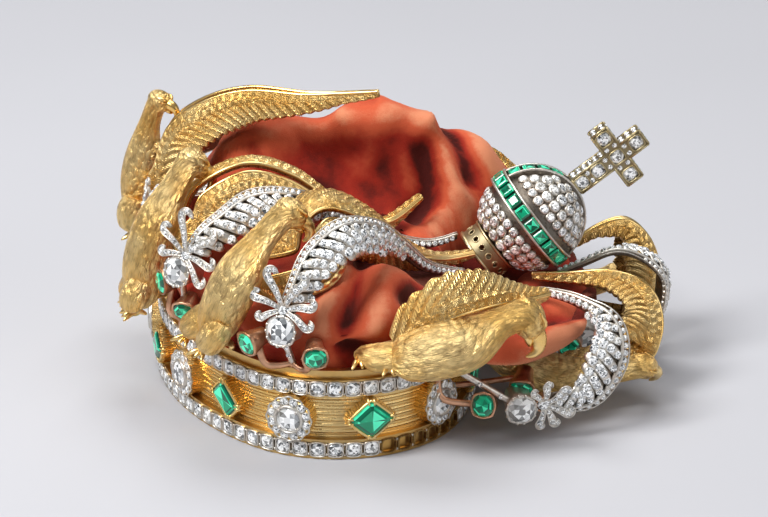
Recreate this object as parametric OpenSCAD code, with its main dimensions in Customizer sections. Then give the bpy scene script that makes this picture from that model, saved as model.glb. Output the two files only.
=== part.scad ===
// Closed crown with eagle and palmette arches, folded over to one side, with its velvet cap

/* [Band] */
// Half width of the oval band, to the face of its reeded wall
band_half_w = 45; // [42:0.5:48]
// Half length of the oval band, to the face of its reeded wall
band_half_l = 65; // [60:0.5:70]
// Radius of the two round ends of the oval
end_r = 36; // [33:0.5:38]
// Turn of the oval, seen from above
oval_turn = 13; // [8:1:18]
// Height of the band
band_h = 27; // [25:0.5:30]
// Thickness of the band's wall
band_wall = 1.6; // [1.3:0.1:2.2]
// Height of the lower stone rail
low_rail_h = 6; // [5.4:0.1:6.6]
// How far the lower rail stands out from the reeded wall
low_rail_out = 1.8; // [1.4:0.1:2.4]
// Height of the upper stone rail
up_rail_h = 5.2; // [4.9:0.1:5.6]
// How far the upper rail stands out from the reeded wall
up_rail_out = 1; // [0.8:0.1:1.6]
// Height of the plain lip above the upper rail
lip_h = 2.8; // [2.2:0.1:3.4]
// Depth of one reed
reed_depth = 0.3; // [0.2:0.05:0.5]

/* [Band stones] */
// Width of a rail stone
rail_stone_d = 4; // [3.6:0.1:4.2]
// Distance from one rail stone to the next
rail_pitch = 4.9; // [4.7:0.05:5.4]
// Depth of the channel that holds the rail stones
channel_depth = 1.2; // [1:0.1:1.3]
// Width of a cluster disc
cluster_d = 13.7; // [12.5:0.1:13.9]
// How far a cluster disc stands out
cluster_out = 3.4; // [3:0.1:4.5]
// Width of the stone in the middle of a cluster
cluster_stone_d = 7.6; // [6.5:0.1:8.5]
// Side of a band emerald
emerald_side = 8.1; // [7:0.1:8.6]
// How far a band emerald's setting stands out
emerald_out = 3; // [2.6:0.1:4]
// Wall of a setting round its stone
setting_wall = 0.7; // [0.5:0.05:1]
// Gap between a stone and its seat
stone_gap = 0.15; // [0.12:0.01:0.2]

/* [Arches] */
// Height of the arches over the band
arch_rise = 60; // [56:0.5:64]
// Height of an eagle from the band to its crown
figure_h = 40; // [37:0.5:43]
// Widest part of an eagle's body
eagle_w = 13.6; // [12:0.1:15]
// Width of one wing
wing_w = 12.5; // [11:0.1:13.5]
// Distance between the two wings of an eagle at their rims
wing_gap = 4.4; // [3:0.1:5]
// Width of a palmette's long leaf
leaf_w = 12; // [10:0.1:13]
// Thickness of wings and leaves
sheet_t = 1.3; // [1:0.1:1.8]
// Width of a palmette's large white stone
palmette_stone_d = 7.2; // [6.4:0.1:8]
// Width of a palmette's green side stones
side_stone_d = 5.6; // [5:0.1:6.2]
// Length of a side stone's setting
side_setting_h = 5; // [4:0.1:6]

/* [Cap] */
// Thickness of the velvet
velvet_t = 1.5; // [1:0.1:2]
// How deep the velvet reaches down inside the band
hem_depth = 13; // [8:0.5:18]
// Gap between the velvet and the band
hem_gap = 0.3; // [0.2:0.05:0.6]
// How far the velvet bulges out past the band on the side that the crown leans to
cap_swell = 42; // [38:0.5:44]

/* [Globe and cross] */
// Diameter of the globe
globe_d = 30; // [28:0.2:31]
// Lean of the globe and cross away from upright
globe_lean = 53.5; // [50:0.5:57]
// Turn of the lean, seen from above
globe_turn = 7; // [3:1:11]
// Width of the globe's green belt
belt_w = 5; // [4.6:0.1:5.6]
// How far the belt stands out from the globe
belt_out = 1.2; // [0.9:0.1:1.6]
// Width of a belt stone
belt_stone_w = 3.7; // [3.3:0.1:3.9]
// Outer diameter of the collar under the globe
collar_d = 17; // [15:0.2:18]
// Length of the collar
collar_h = 6; // [5:0.2:7]
// Wall of the collar
collar_wall = 1.2; // [0.9:0.1:1.6]
// Diameter of the holes in the collar
collar_hole_d = 1.5; // [1.2:0.1:1.8]
// Length of the cross from its foot to its top
cross_h = 25; // [23:0.5:27]
// Span of the cross's arms
cross_span = 19.6; // [18:0.2:21]
// Width of each arm of the cross
cross_arm_w = 5.5; // [5:0.1:6]
// Thickness of the cross
cross_t = 4.4; // [3.8:0.1:5]
// Width of the large stones in the cross
cross_stone_d = 4; // [3.6:0.1:4.2]

/* [Hidden] */
slot_n = 16;

gold = [0.83, 0.66, 0.3];
old_silver = [0.66, 0.62, 0.56];
white_stone = [0.9, 0.93, 0.95];
green_stone = [0.02, 0.5, 0.3];

// Oval of four arcs, the same all round: end arcs and side arcs meet in line
end_c = band_half_l - end_r;
side_r = (pow(band_half_w, 2) + pow(end_c, 2) - pow(end_r, 2)) / (2 * (band_half_w - end_r));
side_c = side_r - band_half_w;
side_half = atan2(end_c, side_c);
end_half = 90 - side_half;
deg = 180 / PI;
end_len = end_half / deg * end_r;
side_len = side_half / deg * side_r;
oval_len = 4 * (end_len + side_len);

// The first slot lies just before the front end of the oval
first_slot = -0.98;
slot_len = oval_len / slot_n;
reed_zone = band_h - low_rail_h - up_rail_h - lip_h;
motif_z = low_rail_h + reed_zone / 2;
reed_n = 7;
round_fn = 96;

// Shapes of cut stones: rows of width and height, as shares of the stone's width
flat_table = 0.62;
flat_crown = 0.3;
deep_cut = [[0.45, -0.2], [1, 0], [0.6, 0.22]];
cushion_corner = 0.28;
step_corner = 0.12;

// Eagles: slot, girth of the body as a share of eagle_w, then rows of out, side, up as shares of
// figure_h from the slot's place on top of the band: two feet, hip, belly, chest, neck, head, beak
eagles = [
    [1, 1.22, [0, -0.07, 0.05], [0.12, 0.12, 0.03], [0.15, 0.23, 0.12], [0.2, 0.44, 0.17], [0.19, 0.68, 0.21],
        [0.14, 0.93, 0.31], [0.09, 1.14, 0.31], [0.11, 1.21, 0.12]],
    [3, 0.95, [0.1, 0.1, -0.08], [0.1, -0.1, -0.08], [0.3, 0, -0.2], [0.51, 0.04, -0.3], [0.75, 0.14, -0.39],
        [1.06, 0.28, -0.38], [1.28, 0.38, -0.35], [1.34, 0.46, -0.42]],
    [5, 1, [0.1, 0.1, -0.08], [0.1, -0.1, -0.08], [0.32, 0.04, -0.2], [0.59, 0.12, -0.27], [0.89, 0.18, -0.3],
        [1.14, 0.16, -0.3], [1.33, 0.14, -0.25], [1.4, 0.14, -0.3]],
    [7, 0.95, [0.1, 0.15, 0.05], [0.09, -0.13, 0.06], [0.3, 0.02, 0.12], [0.48, -0.03, 0.22], [0.62, -0.08, 0.31],
        [0.72, -0.16, 0.39], [0.78, -0.26, 0.41], [0.86, -0.34, 0.33]],
    [11, 0.8, [0.27, 0.13, 0.08], [0.28, -0.04, 0.05], [0.27, 0.09, 0.32], [0.28, 0.04, 0.52], [0.23, 0.03, 0.76],
        [0.17, 0.04, 1.01], [0.09, 0.04, 1.19], [0, 0.07, 1.16]],
    [13, 1, [0.24, -0.12, -0.08], [0.27, 0.13, -0.06], [0.2, 0.05, 0.11], [0.17, 0.09, 0.36], [0.08, 0.1, 0.65],
        [-0.06, 0.05, 0.9], [-0.21, -0.01, 1.06], [-0.33, -0.01, 0.95]],
    [15, 1, [0.18, -0.27, 0.04], [0.24, -0.02, 0.03], [0.2, 0.06, 0.26], [0.16, 0.13, 0.46], [0.07, 0.19, 0.68],
        [-0.1, 0.23, 0.89], [-0.3, 0.3, 1.06], [-0.41, 0.37, 0.93]]
];
body_girth = [0.55, 0.84, 1, 0.96, 0.52, 0.58, 0.12];

// Lines along which the two wings of each eagle run to their tip: fold angle, the point of the body
// where they start (0 hip, 1 belly, 2 chest), a point inside the arch, then rows of x, y, z as shares
// of band_half_w, band_half_l, arch_rise
wing_lines = [
    [14, 0, [0.9, -0.1, 0.1], [0.82, -1.02, 0.22], [1.07, -0.95, 0.27], [1.3, -0.83, 0.27], [1.5, -0.68, 0.24]],
    [66, 2, [1.5, -0.3, -0.2], [2.13, -0.4, -0.28], [2.27, -0.34, -0.16], [2.27, -0.28, -0.01], [2.16, -0.24, 0.1],
        [1.94, -0.2, 0.14], [1.68, -0.17, 0.12], [1.44, -0.15, 0.11]],
    [60, 2, [1.5, 0.2, -0.2], [2.24, 0.3, -0.24], [2.34, 0.3, -0.08], [2.28, 0.3, 0.1], [2.12, 0.29, 0.21],
        [1.92, 0.27, 0.18], [1.76, 0.25, 0.1]],
    [50, 2, [0.2, 0.2, 0], [1.0, 0.99, 0.33], [1.21, 0.94, 0.32], [1.4, 0.83, 0.28], [1.52, 0.7, 0.2]],
    [60, 2, [0, 0.3, 0], [-1.08, 0.46, 0.45], [-0.96, 0.4, 0.7], [-0.73, 0.34, 0.85], [-0.43, 0.28, 0.93],
        [-0.06, 0.18, 0.94], [0.2, 0.13, 0.96], [0.43, 0.07, 0.99]],
    [40, 2, [0, 0.2, 0], [-0.84, -0.22, 0.46], [-0.74, -0.18, 0.58], [-0.45, -0.15, 0.68], [-0.16, -0.12, 0.62],
        [0.14, -0.09, 0.46], [0.46, -0.03, 0.34], [0.72, 0.06, 0.44]],
    [35, 2, [0.2, 0, 0], [-0.1, -0.72, 0.45], [-0.03, -0.66, 0.58], [0.1, -0.58, 0.62], [0.34, -0.49, 0.52],
        [0.6, -0.37, 0.34], [0.82, -0.25, 0.24], [1.057, -0.162, 0.227]]
];
wing_width = [[0, 0.4], [0.15, 0.8], [0.35, 1], [0.55, 0.85], [0.72, 0.45], [0.86, 0.24], [1, 0.12]];
wing_apart = [[0, 0.7], [0.3, 0.5], [0.7, 0.2], [0.85, 0.05], [1, 0.05]];

// Palmettes: slot, size of the fan as a share of its full reach, then rows of out, side, up as shares
// of figure_h for the large stone, the two side stones and the root of the fan
palmettes = [
    [0, 0.92, [0.12, -0.04, 0.32], [0.17, -0.28, 0.21], [0.1, 0.21, 0.14], [0.09, -0.03, 0.47]],
    [2, 0.6, [0.55, 0.34, -0.41], [0.39, 0.1, -0.34], [0.43, 0.5, -0.33], [0.66, 0.46, -0.38]],
    [4, 0.4, [0.87, 0.1, -0.38], [0.75, -0.14, -0.36], [0.75, 0.32, -0.36], [1.12, 0.12, -0.36]],
    [6, 0.6, [0.5, 0.14, -0.1], [0.42, -0.08, -0.14], [0.36, 0.34, -0.12], [0.7, 0.14, -0.05]],
    [8, 0.45, [0.2, 0, 0.29], [0.2, -0.25, 0.18], [0.2, 0.25, 0.18], [0.19, 0, 0.54]],
    [10, 0.64, [0.18, 0.01, 0.31], [0.17, -0.25, 0.18], [0.17, 0.25, 0.18], [0.16, 0, 0.49]],
    [12, 0.7, [0.14, 0, 0.31], [0.13, -0.25, 0.18], [0.13, 0.25, 0.18], [0.11, 0, 0.48]],
    [14, 1, [0.13, 0.06, 0.47], [0.17, -0.13, 0.33], [0.12, 0.14, 0.18], [0.08, 0.1, 0.6]]
];

// Lines along which the long leaves run from the fan to their tip: lean of the rib, a point inside
// the arch, then rows of x, y, z as shares of band_half_w, band_half_l, arch_rise
leaf_lines = [
    [0.35, [0.4, 0, 0.1], [-0.12, -0.98, 0.42], [-0.01, -0.92, 0.56], [0.19, -0.82, 0.64], [0.4, -0.68, 0.58],
        [0.56, -0.52, 0.44], [0.72, -0.42, 0.29], [0.86, -0.34, 0.22], [0.98, -0.3, 0.19]],
    [-0.35, [1.8, 0.4, -0.1], [1.72, -0.83, -0.26], [1.86, -0.82, -0.15], [1.93, -0.78, 0], [1.88, -0.7, 0.12],
        [1.7, -0.6, 0.17], [1.52, -0.5, 0.17], [1.42, -0.44, 0.15]],
    [0.15, [1.6, 0, -0.2], [2.27, 0.04, -0.28], [2.36, 0.04, -0.14], [2.36, 0.03, 0.02], [2.22, 0.02, 0.13],
        [2.01, 0.01, 0.17], [1.8, 0, 0.11], [1.6, -0.02, 0.055]],
    [0.2, [1, 0.2, -0.2], [1.52, 0.66, 0.08], [1.66, 0.62, 0.16], [1.74, 0.52, 0.2], [1.76, 0.42, 0.18]],
    [-0.2, [0.2, 0.2, 0], [0.14, 1.03, 0.42], [0.14, 0.95, 0.5], [0.2, 0.83, 0.56], [0.3, 0.7, 0.58]],
    [0.2, [0, 0.2, 0], [-0.83, 0.9, 0.4], [-0.7, 0.92, 0.42], [-0.46, 0.9, 0.42], [-0.2, 0.87, 0.41]],
    [-0.2, [0, 0.2, 0], [-1.13, 0.16, 0.35], [-1.02, 0.15, 0.43], [-0.82, 0.14, 0.45], [-0.6, 0.13, 0.44],
        [-0.46, 0.12, 0.43]],
    [0.35, [0, 0.3, 0.1], [-0.73, -0.58, 0.5], [-0.6, -0.55, 0.57], [-0.39, -0.48, 0.65], [-0.12, -0.39, 0.62],
        [0.17, -0.29, 0.5], [0.5, -0.2, 0.34], [0.76, -0.12, 0.27], [0.95, -0.066, 0.285]]
];
leaf_width = [[0, 0.4], [0.18, 0.8], [0.36, 1], [0.52, 0.75], [0.66, 0.4], [0.85, 0.26], [1, 0.22]];

// Small leaves of a palmette's fan: rows of angle from the long leaf, reach and tip width,
// the last two as shares of figure_h
fan_leaves = [
    [-110, 0.2, 0.05], [-66, 0.27, 0.055], [-22, 0.34, 0.06], [24, 0.34, 0.065], [66, 0.27, 0.06],
    [106, 0.26, 0.055]
];

// Edge of the velvet round the cap: rows of slot, reach past the band as a share of cap_swell,
// height of its widest line and height of its underside as shares of arch_rise over the band
cap_edge = [
    [0, 0.04, 0.14, 0.08], [1, 0.04, 0.12, 0.08], [1.8, 0.06, 0.1, 0.07], [2.2, 0.34, -0.06, -0.1],
    [2.55, 0.62, -0.12, -0.2], [2.85, 0.78, 0, -0.04], [3.2, 0.92, 0.02, -0.01], [4, 1, 0, -0.02],
    [4.6, 0.95, 0.02, 0], [5, 0.9, 0.04, 0.02], [5.5, 0.72, 0.1, 0.04], [6, 0.56, 0.16, 0.06],
    [6.5, 0.36, 0.18, 0.08], [7, 0.12, 0.16, 0.08],
    [9, 0.04, 0.18, 0.08], [11, 0.04, 0.2, 0.08], [13, 0.04, 0.14, 0.08], [15, 0.04, 0.14, 0.08],
    [16, 0.04, 0.14, 0.08]
];
// Hills and hollows of the velvet's upper side: rows of place x and y, lift and spread along x and y,
// as shares of band_half_w, band_half_l, arch_rise and band_half_w for both spreads
cap_level = 0.3;
cap_hills = [
    [-0.4, 0.46, 0.46, 0.55, 0.5], [0.12, 0.56, 0.1, 0.3, 0.4], [0.44, 0.46, 0.42, 0.3, 0.34],
    [1.1, 0.46, 0.46, 0.5, 0.4], [0.3, -0.62, 0.08, 0.4, 0.5], [1.45, 0, -0.24, 0.5, 0.6],
    [1.9, -0.1, -0.1, 0.3, 0.8], [1.4, -0.6, -0.12, 0.4, 0.5], [-0.7, -0.3, -0.06, 0.4, 0.6]
];
cap_centre = [0.42, 0.06];
cap_sides = 36;

// Globe and collar, placed over the right side of the band
globe_share = [1.44, 0, 0.345];
globe_c = from_shares(globe_share);
globe_r = globe_d / 2;
part_gap = 0.3;
belt_r = globe_r + belt_out;
collar_r = collar_d / 2;
collar_top = sqrt(pow(globe_r, 2) - pow(collar_r - collar_wall, 2)) + part_gap;
belt_n = floor(PI * globe_d / (belt_stone_w + 0.5));

function from_shares(p) = [p[0] * band_half_w, p[1] * band_half_l, band_h + p[2] * arch_rise];
function unit(v) = v / norm(v);
function sum(v) = [for (a = v) 1] * v;
function mix(a, b, t) = a + (b - a) * t;

// Smooth line through points, t from 0 to 1
function knot(a, b, c, d, t) =
    (2 * b + (c - a) * t + (2 * a - 5 * b + 4 * c - d) * t * t + (3 * b - a - 3 * c + d) * t * t * t) / 2;
function on_line(pts, t) =
    let (m = len(pts) - 1, s = min(t * m, m - 0.0001), i = floor(s))
    knot(pts[max(i - 1, 0)], pts[i], pts[i + 1], pts[min(i + 2, m)], s - i);
function tangent(pts, t) = unit(on_line(pts, min(t + 0.02, 1)) - on_line(pts, max(t - 0.02, 0)));

// Place on the oval: x, y and outward angle, at a distance along it and an offset outwards
function on_arc(c, r, a, off) =
    let (p = c + (r + off) * [cos(a), sin(a)])
    [p[0] * cos(oval_turn) - p[1] * sin(oval_turn), p[0] * sin(oval_turn) + p[1] * cos(oval_turn), a + oval_turn];
function on_oval(along, off) =
    let (s = along - oval_len * floor(along / oval_len))
    s < end_len ? on_arc([0, -end_c], end_r, -90 + s / end_r * deg, off)
    : s < end_len + 2 * side_len ? on_arc([-side_c, 0], side_r, (s - end_len - side_len) / side_r * deg, off)
    : s < 3 * end_len + 2 * side_len
        ? on_arc([0, end_c], end_r, 90 + (s - 2 * end_len - 2 * side_len) / end_r * deg, off)
    : s < 3 * end_len + 4 * side_len
        ? on_arc([side_c, 0], side_r, 180 + (s - 3 * end_len - 3 * side_len) / side_r * deg, off)
    : on_arc([0, -end_c], end_r, -90 + (s - oval_len) / end_r * deg, off);
function slot_at(i, off) = on_oval((first_slot + i) * slot_len, off);
function from_slot(i, p) =
    let (o = slot_at(i, 0), q = p * figure_h)
    [o[0] + q[0] * cos(o[2]) - q[1] * sin(o[2]), o[1] + q[0] * sin(o[2]) + q[1] * cos(o[2]), band_h + q[2]];

// Skin over rings of points, all with the same number of points, closed at both ends
function skin_faces(rows, n, at) = concat(
    [[for (j = [0:n - 1]) at + j]],
    [[for (j = [n - 1:-1:0]) at + (rows - 1) * n + j]],
    [for (i = [0:rows - 2], j = [0:n - 1]) let (k = (j + 1) % n)
        each [[at + i * n + k, at + i * n + j, at + (i + 1) * n + j],
            [at + i * n + k, at + (i + 1) * n + j, at + (i + 1) * n + k]]]
);
module skin(rings) {
    polyhedron([for (ring = rings) each ring], skin_faces(len(rings), len(rings[0]), 0));
}

// Outline of a cut stone: a rectangle with cut corners, turned and then stretched sideways
function stone_outline(w, h, corner, turn = 0, stretch = 1) =
    let (c = corner * min(w, h), a = w / 2, b = h / 2)
    [for (p = [[a, c - b], [a, b - c], [a - c, b], [c - a, b], [-a, b - c], [-a, c - b], [c - a, -b], [a - c, -b]])
        [(p[0] * cos(turn) - p[1] * sin(turn)) * stretch, p[0] * sin(turn) + p[1] * cos(turn)]];

// Cut stones as separate closed shells: each place has an origin and three axes, the third outwards
module cut_stones(places, outline, cut, size) {
    n = len(outline);
    rows = len(cut);
    polyhedron(
        [for (pl = places, row = cut, p = outline)
            pl[0] + pl[1] * p[0] * row[0] + pl[2] * p[1] * row[0] + pl[3] * row[1] * size],
        [for (k = [0:len(places) - 1]) each skin_faces(rows, n, k * rows * n)]
    );
}
// Small stones with a flat back and a table turned half a side from it, so that facets lean all round;
// an outline with cut corners gets a table with half as many corners
module small_stones(places, outline, size) {
    n = len(outline);
    m = n > 4 ? n / 2 : n;
    table = [for (j = [0:m - 1])
        flat_table * (n > 4 ? (outline[2 * j + 1] + outline[(2 * j + 2) % n]) / 2
            : norm(outline[0]) * unit(outline[j] + outline[(j + 1) % n]))];
    polyhedron(
        [for (pl = places) each concat(
            [for (p = outline) pl[0] + pl[1] * p[0] + pl[2] * p[1]],
            [for (p = table) pl[0] + pl[1] * p[0] + pl[2] * p[1] + pl[3] * flat_crown * size])],
        [for (k = [0:len(places) - 1]) let (a = k * (n + m), t = a + n) each concat(
            [[for (j = [0:n - 1]) a + j], [for (j = [m - 1:-1:0]) t + j]],
            [for (j = [0:m - 1]) let (i = (j + m - 1) % m)
                each n > 4
                    ? let (b = a + 2 * j)
                        [[b + 1, b, t + i], [b + 1, t + i, t + j], [a + (2 * j + 2) % n, b + 1, t + j]]
                : [[a + j, t + i, t + j], [a + (j + 1) % n, a + j, t + j]]])]
    );
}
function square_outline(w) = [for (p = [[1, -1], [1, 1], [-1, 1], [-1, -1]]) p * w / 2];
function wall_place(along, off, z) =
    let (o = on_oval(along, off), a = o[2])
    [[o[0], o[1], z], [-sin(a), cos(a), 0], [0, 0, 1], [cos(a), sin(a), 0]];
function facing_place(p, out, up) =
    let (n = unit(out), u = unit(cross(up, n)))
    [p, u, cross(n, u), n];

// Sections of the band
channel_h = rail_stone_d + 2 * stone_gap;
low_stone_z = low_rail_h / 2;
up_stone_z = band_h - lip_h - up_rail_h / 2;
low_floor = low_rail_out - channel_depth;
up_floor = up_rail_out - channel_depth;
reed_top = low_rail_h + reed_zone;
band_profile = concat(
    [[-band_wall, 0], [low_rail_out, 0], [low_rail_out, low_stone_z - channel_h / 2],
        [low_floor, low_stone_z - channel_h / 2], [low_floor, low_stone_z + channel_h / 2],
        [low_rail_out, low_stone_z + channel_h / 2], [low_rail_out, low_rail_h]],
    [for (i = [0:reed_n - 1], k = [0:1])
        [-k * reed_depth, low_rail_h + (i + k / 2) * reed_zone / reed_n]],
    [[0, reed_top], [up_rail_out, reed_top], [up_rail_out, up_stone_z - channel_h / 2],
        [up_floor, up_stone_z - channel_h / 2], [up_floor, up_stone_z + channel_h / 2],
        [up_rail_out, up_stone_z + channel_h / 2], [up_rail_out, band_h - lip_h],
        [0, band_h - lip_h], [up_rail_out / 2, band_h], [-band_wall, band_h]]
);
// Each arc stops short of its neighbour by half a seam, and a tongue inside the wall joins the two
seam = 0.04;
tongue = 1.5;
tongue_edge = 0.5;
band_arcs = [
    [[0, -end_c], end_r, -90, end_half],
    [[-side_c, 0], side_r, 0, side_half],
    [[0, end_c], end_r, 90, end_half],
    [[side_c, 0], side_r, 180, side_half]
];
module swept_arc(c, r, from, to) {
    translate(c) rotate(from) rotate_extrude(angle = to - from, $fn = round_fn) translate([r, 0]) children();
}

module on_wall(i) {
    o = slot_at(i, 0);
    translate([o[0], o[1], motif_z]) rotate([0, 90, o[2]]) rotate(90) children();
}
// Rows of side and height as shares of emerald_side, turn and stretch, one for each band emerald
emerald_rows = [
    [1, 1, 45, 1.16], [1, 1, 45, 1.1], [1.1, 0.8, 0, 1], [1, 1, 45, 1.1],
    [1.1, 0.8, 90, 1], [1, 1, 45, 1.1], [0.95, 0.95, 45, 1.05], [1.15, 0.78, -44, 1]
];
function emerald_shape(k, grow) =
    let (row = emerald_rows[k])
    stone_outline(row[0] * emerald_side + grow, row[1] * emerald_side + grow, step_corner, row[2], row[3]);
seat_depth = 0.2 * cluster_stone_d + 2 * stone_gap;
emerald_seat = 0.2 * emerald_side + 2 * stone_gap;
root_depth = band_wall * 0.9;

module band() {
    color(gold) difference() {
        union() {
            rotate(oval_turn) {
                for (arc = band_arcs) {
                    half = arc[3] - seam / 2 / arc[1] * deg;
                    swept_arc(arc[0], arc[1], arc[2] - half, arc[2] + half) polygon(band_profile);
                }
                for (arc = [band_arcs[0], band_arcs[2]], side = [-1, 1]) {
                    joint = arc[2] + side * arc[3];
                    half = tongue / arc[1] * deg;
                    swept_arc(arc[0], arc[1], joint - half, joint + half)
                        translate([tongue_edge - band_wall, tongue_edge])
                            square([band_wall - tongue_edge - reed_depth * 1.5, band_h - 2 * tongue_edge]);
                }
            }
            for (k = [0:7]) {
                on_wall(2 * k) translate([0, 0, -root_depth])
                    cylinder(d = cluster_d, h = cluster_out + root_depth, $fn = 48);
                on_wall(2 * k + 1) translate([0, 0, -root_depth])
                    linear_extrude(emerald_out + root_depth)
                        polygon(emerald_shape(k, 2 * (setting_wall + stone_gap)));
            }
        }
        for (k = [0:7]) {
            on_wall(2 * k) translate([0, 0, cluster_out - seat_depth])
                cylinder(d = cluster_stone_d * 1.08 + 2 * stone_gap, h = cluster_out, $fn = 32);
            on_wall(2 * k + 1) translate([0, 0, emerald_out - emerald_seat])
                linear_extrude(emerald_out) polygon(emerald_shape(k, 2 * stone_gap));
        }
    }
}

// Rail stones: a row round each rail, with some of the lower ones lost at the front right
rail_n = floor(oval_len / rail_pitch);
lost_from = 1.05;
lost_to = 2.5;
module rail_stones(off, z, from, to) {
    places = [for (k = [0:rail_n - 1]) let (s = (k + 0.5) * oval_len / rail_n + first_slot * slot_len)
        if (s < (first_slot + from) * slot_len || s > (first_slot + to) * slot_len)
            wall_place(s, off + stone_gap, z)];
    color(white_stone)
        small_stones(places, square_outline(rail_stone_d), rail_stone_d);
}
module rail_stones_upper() rail_stones(up_floor, up_stone_z, 0, 0);
module rail_stones_lower() rail_stones(low_floor, low_stone_z, lost_from, lost_to);

module cluster_diamond(k) {
    d = cluster_stone_d;
    color(white_stone)
        cut_stones([wall_place((first_slot + 2 * k) * slot_len, cluster_out - stone_gap, motif_z)],
            stone_outline(d, d, cushion_corner), deep_cut, d);
}
module band_emerald(k) {
    color(green_stone)
        cut_stones([wall_place((first_slot + 2 * k + 1) * slot_len, emerald_out - stone_gap, motif_z)],
            emerald_shape(k, 0), deep_cut, emerald_side);
}

// Body of an eagle: round sections from the tail over hip, belly, chest, neck and head to the beak
body_rows = 8;
body_sides = 7;
function body_line(e) =
    let (p = [for (k = [4:9]) from_slot(e[0], e[k])])
    concat([p[0] - (p[1] - p[0]) * 0.5], p);
function ring_round(c, t, r, n) =
    let (s = unit(cross(t, [0.3, 0.9, 0.2])), u = cross(s, t))
    [for (j = [0:n - 1]) c + r * (s * cos(j * 360 / n) - u * sin(j * 360 / n))];
function body_rings(e) =
    let (line = body_line(e), girth = [for (g = body_girth) [g, 0, 0]])
    [for (i = [0:body_rows - 1]) let (t = i / (body_rows - 1))
        ring_round(on_line(line, t), tangent(line, t), on_line(girth, t)[0] * e[1] * eagle_w / 2, body_sides)];

// One wing: a thin curved sheet from its rim inwards, side is 1 or -1
wing_rows = 7;
function out_at(line, t, inner) =
    let (d = tangent(line, t), o = on_line(line, t) - inner)
    unit(o - d * (o * d));
function wing_line(k) =
    let (row = wing_lines[k])
    concat([from_slot(eagles[k][0], eagles[k][4 + row[1]])], [for (i = [3:len(row) - 1]) from_shares(row[i])]);
function wing_rings(k, side) =
    let (line = wing_line(k), fold = wing_lines[k][0], inner = from_shares(wing_lines[k][2]))
    [for (i = [0:wing_rows - 1])
        let (t = i / (wing_rows - 1), d = tangent(line, t), n = out_at(line, t, inner), s = side * cross(d, n),
            w = wing_w * lookup(t, wing_width), rim = on_line(line, t) + s * wing_gap * lookup(t, wing_apart),
            across = s * cos(fold) - n * sin(fold), in = -s * sin(fold) - n * cos(fold),
            top = [for (u = [0, 0.5, 1]) rim + across * u * w - in * u * (1 - u) * 0.6 * w],
            ring = concat(top, [for (u = [2, 1, 0]) top[u] + in * sheet_t]))
        side < 0 ? [for (j = [5:-1:0]) ring[j]] : ring];

toe_r = 0.75;
wire_r = 0.8;
// A figure stands on the band, or on its upper rail outside the lip when it has folded down past it
outside_lip = 0.05;
post_d = 2.4;
function figure_base(i, up) =
    let (hung = up < 0)
    from_slot(i, [hung ? outside_lip : 0, 0, 0]) + [0, 0, part_gap - (hung ? lip_h : 0)];
module post(base) translate(base) cylinder(d = post_d, h = 2 * wire_r, $fn = 6);
module bone(a, b, ra, rb, n) {
    d = unit(b - a);
    hull() skin([ring_round(a, d, ra, n), ring_round(b, d, rb, n)]);
}
module talon(foot, out) {
    side = cross([0, 0, 1], out);
    for (k = [-1:1])
        bone(foot + (side * k - out) * toe_r * 0.4, foot + (out + side * k * 0.7) * 4 * toe_r,
            toe_r, toe_r * 0.6, 3);
}
module eagle(k) {
    e = eagles[k];
    line = body_line(e);
    out = unit(from_slot(e[0], [1, 0, 0]) - from_slot(e[0], [0, 0, 0]));
    color(gold) union() {
        skin(body_rings(e));
        for (side = [-1, 1]) skin(wing_rings(k, side));
        for (f = [2, 3]) {
            foot = from_slot(e[0], e[f]) + [0, 0, toe_r];
            bone(line[1] + out * (f - 2), foot, eagle_w * 0.27, eagle_w * 0.1, 5);
            talon(foot, out);
        }
        base = figure_base(e[0], e[8][2]);
        bone(line[1] + out * 2, base + [0, 0, 1.5 * wire_r], eagle_w * 0.2, wire_r, 5);
        post(base);
    }
}

// Palmette: stem and curved supports, three settings, a fan of small leaves and one long leaf
leaf_rows = 8;
function leaf_line(k) =
    let (row = leaf_lines[k])
    concat([from_slot(palmettes[k][0], palmettes[k][5])], [for (i = [2:len(row) - 1]) from_shares(row[i])]);
function leaf_rings(k) =
    let (line = leaf_line(k), lean = leaf_lines[k][0], inner = from_shares(leaf_lines[k][1]))
    [for (i = [0:leaf_rows - 1])
        let (t = i / (leaf_rows - 1), n = out_at(line, t, inner), s = cross(tangent(line, t), n),
            w = leaf_w * lookup(t, leaf_width) / 2, c = on_line(line, t) + s * w * lean,
            top = [c - s * w - n * w * 0.3, c, c + s * w - n * w * 0.3],
            under = [for (j = [2, 1, 0]) top[j] - n * sheet_t])
        concat(under, top)];
function fan_way(k) = let (row = palmettes[k]) unit(from_slot(row[0], row[5]) - from_slot(row[0], row[2]));
function stone_out(k) =
    let (row = palmettes[k], d = fan_way(k), o = from_slot(row[0], row[2]) - from_shares(leaf_lines[k][1]))
    unit(o - d * (o * d));
function side_out(k, side) =
    let (n = stone_out(k), d = fan_way(k))
    unit(n * 0.75 + cross(d, n) * side * 0.4 - d * 0.35);
module setting(p, out, d, h) {
    place = facing_place(p - out * stone_gap, out, [0, 0.2, 1]);
    multmatrix([for (r = [0:2]) [place[1][r], place[2][r], place[3][r], place[0][r]]])
        translate([0, 0, -h]) cylinder(d = d + 2 * setting_wall, h = h, $fn = 8);
}
big_setting_h = 2.6;
leaf_step = 0.11;
hub_d = 4.6;
hub_h = 1.5;
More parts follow.
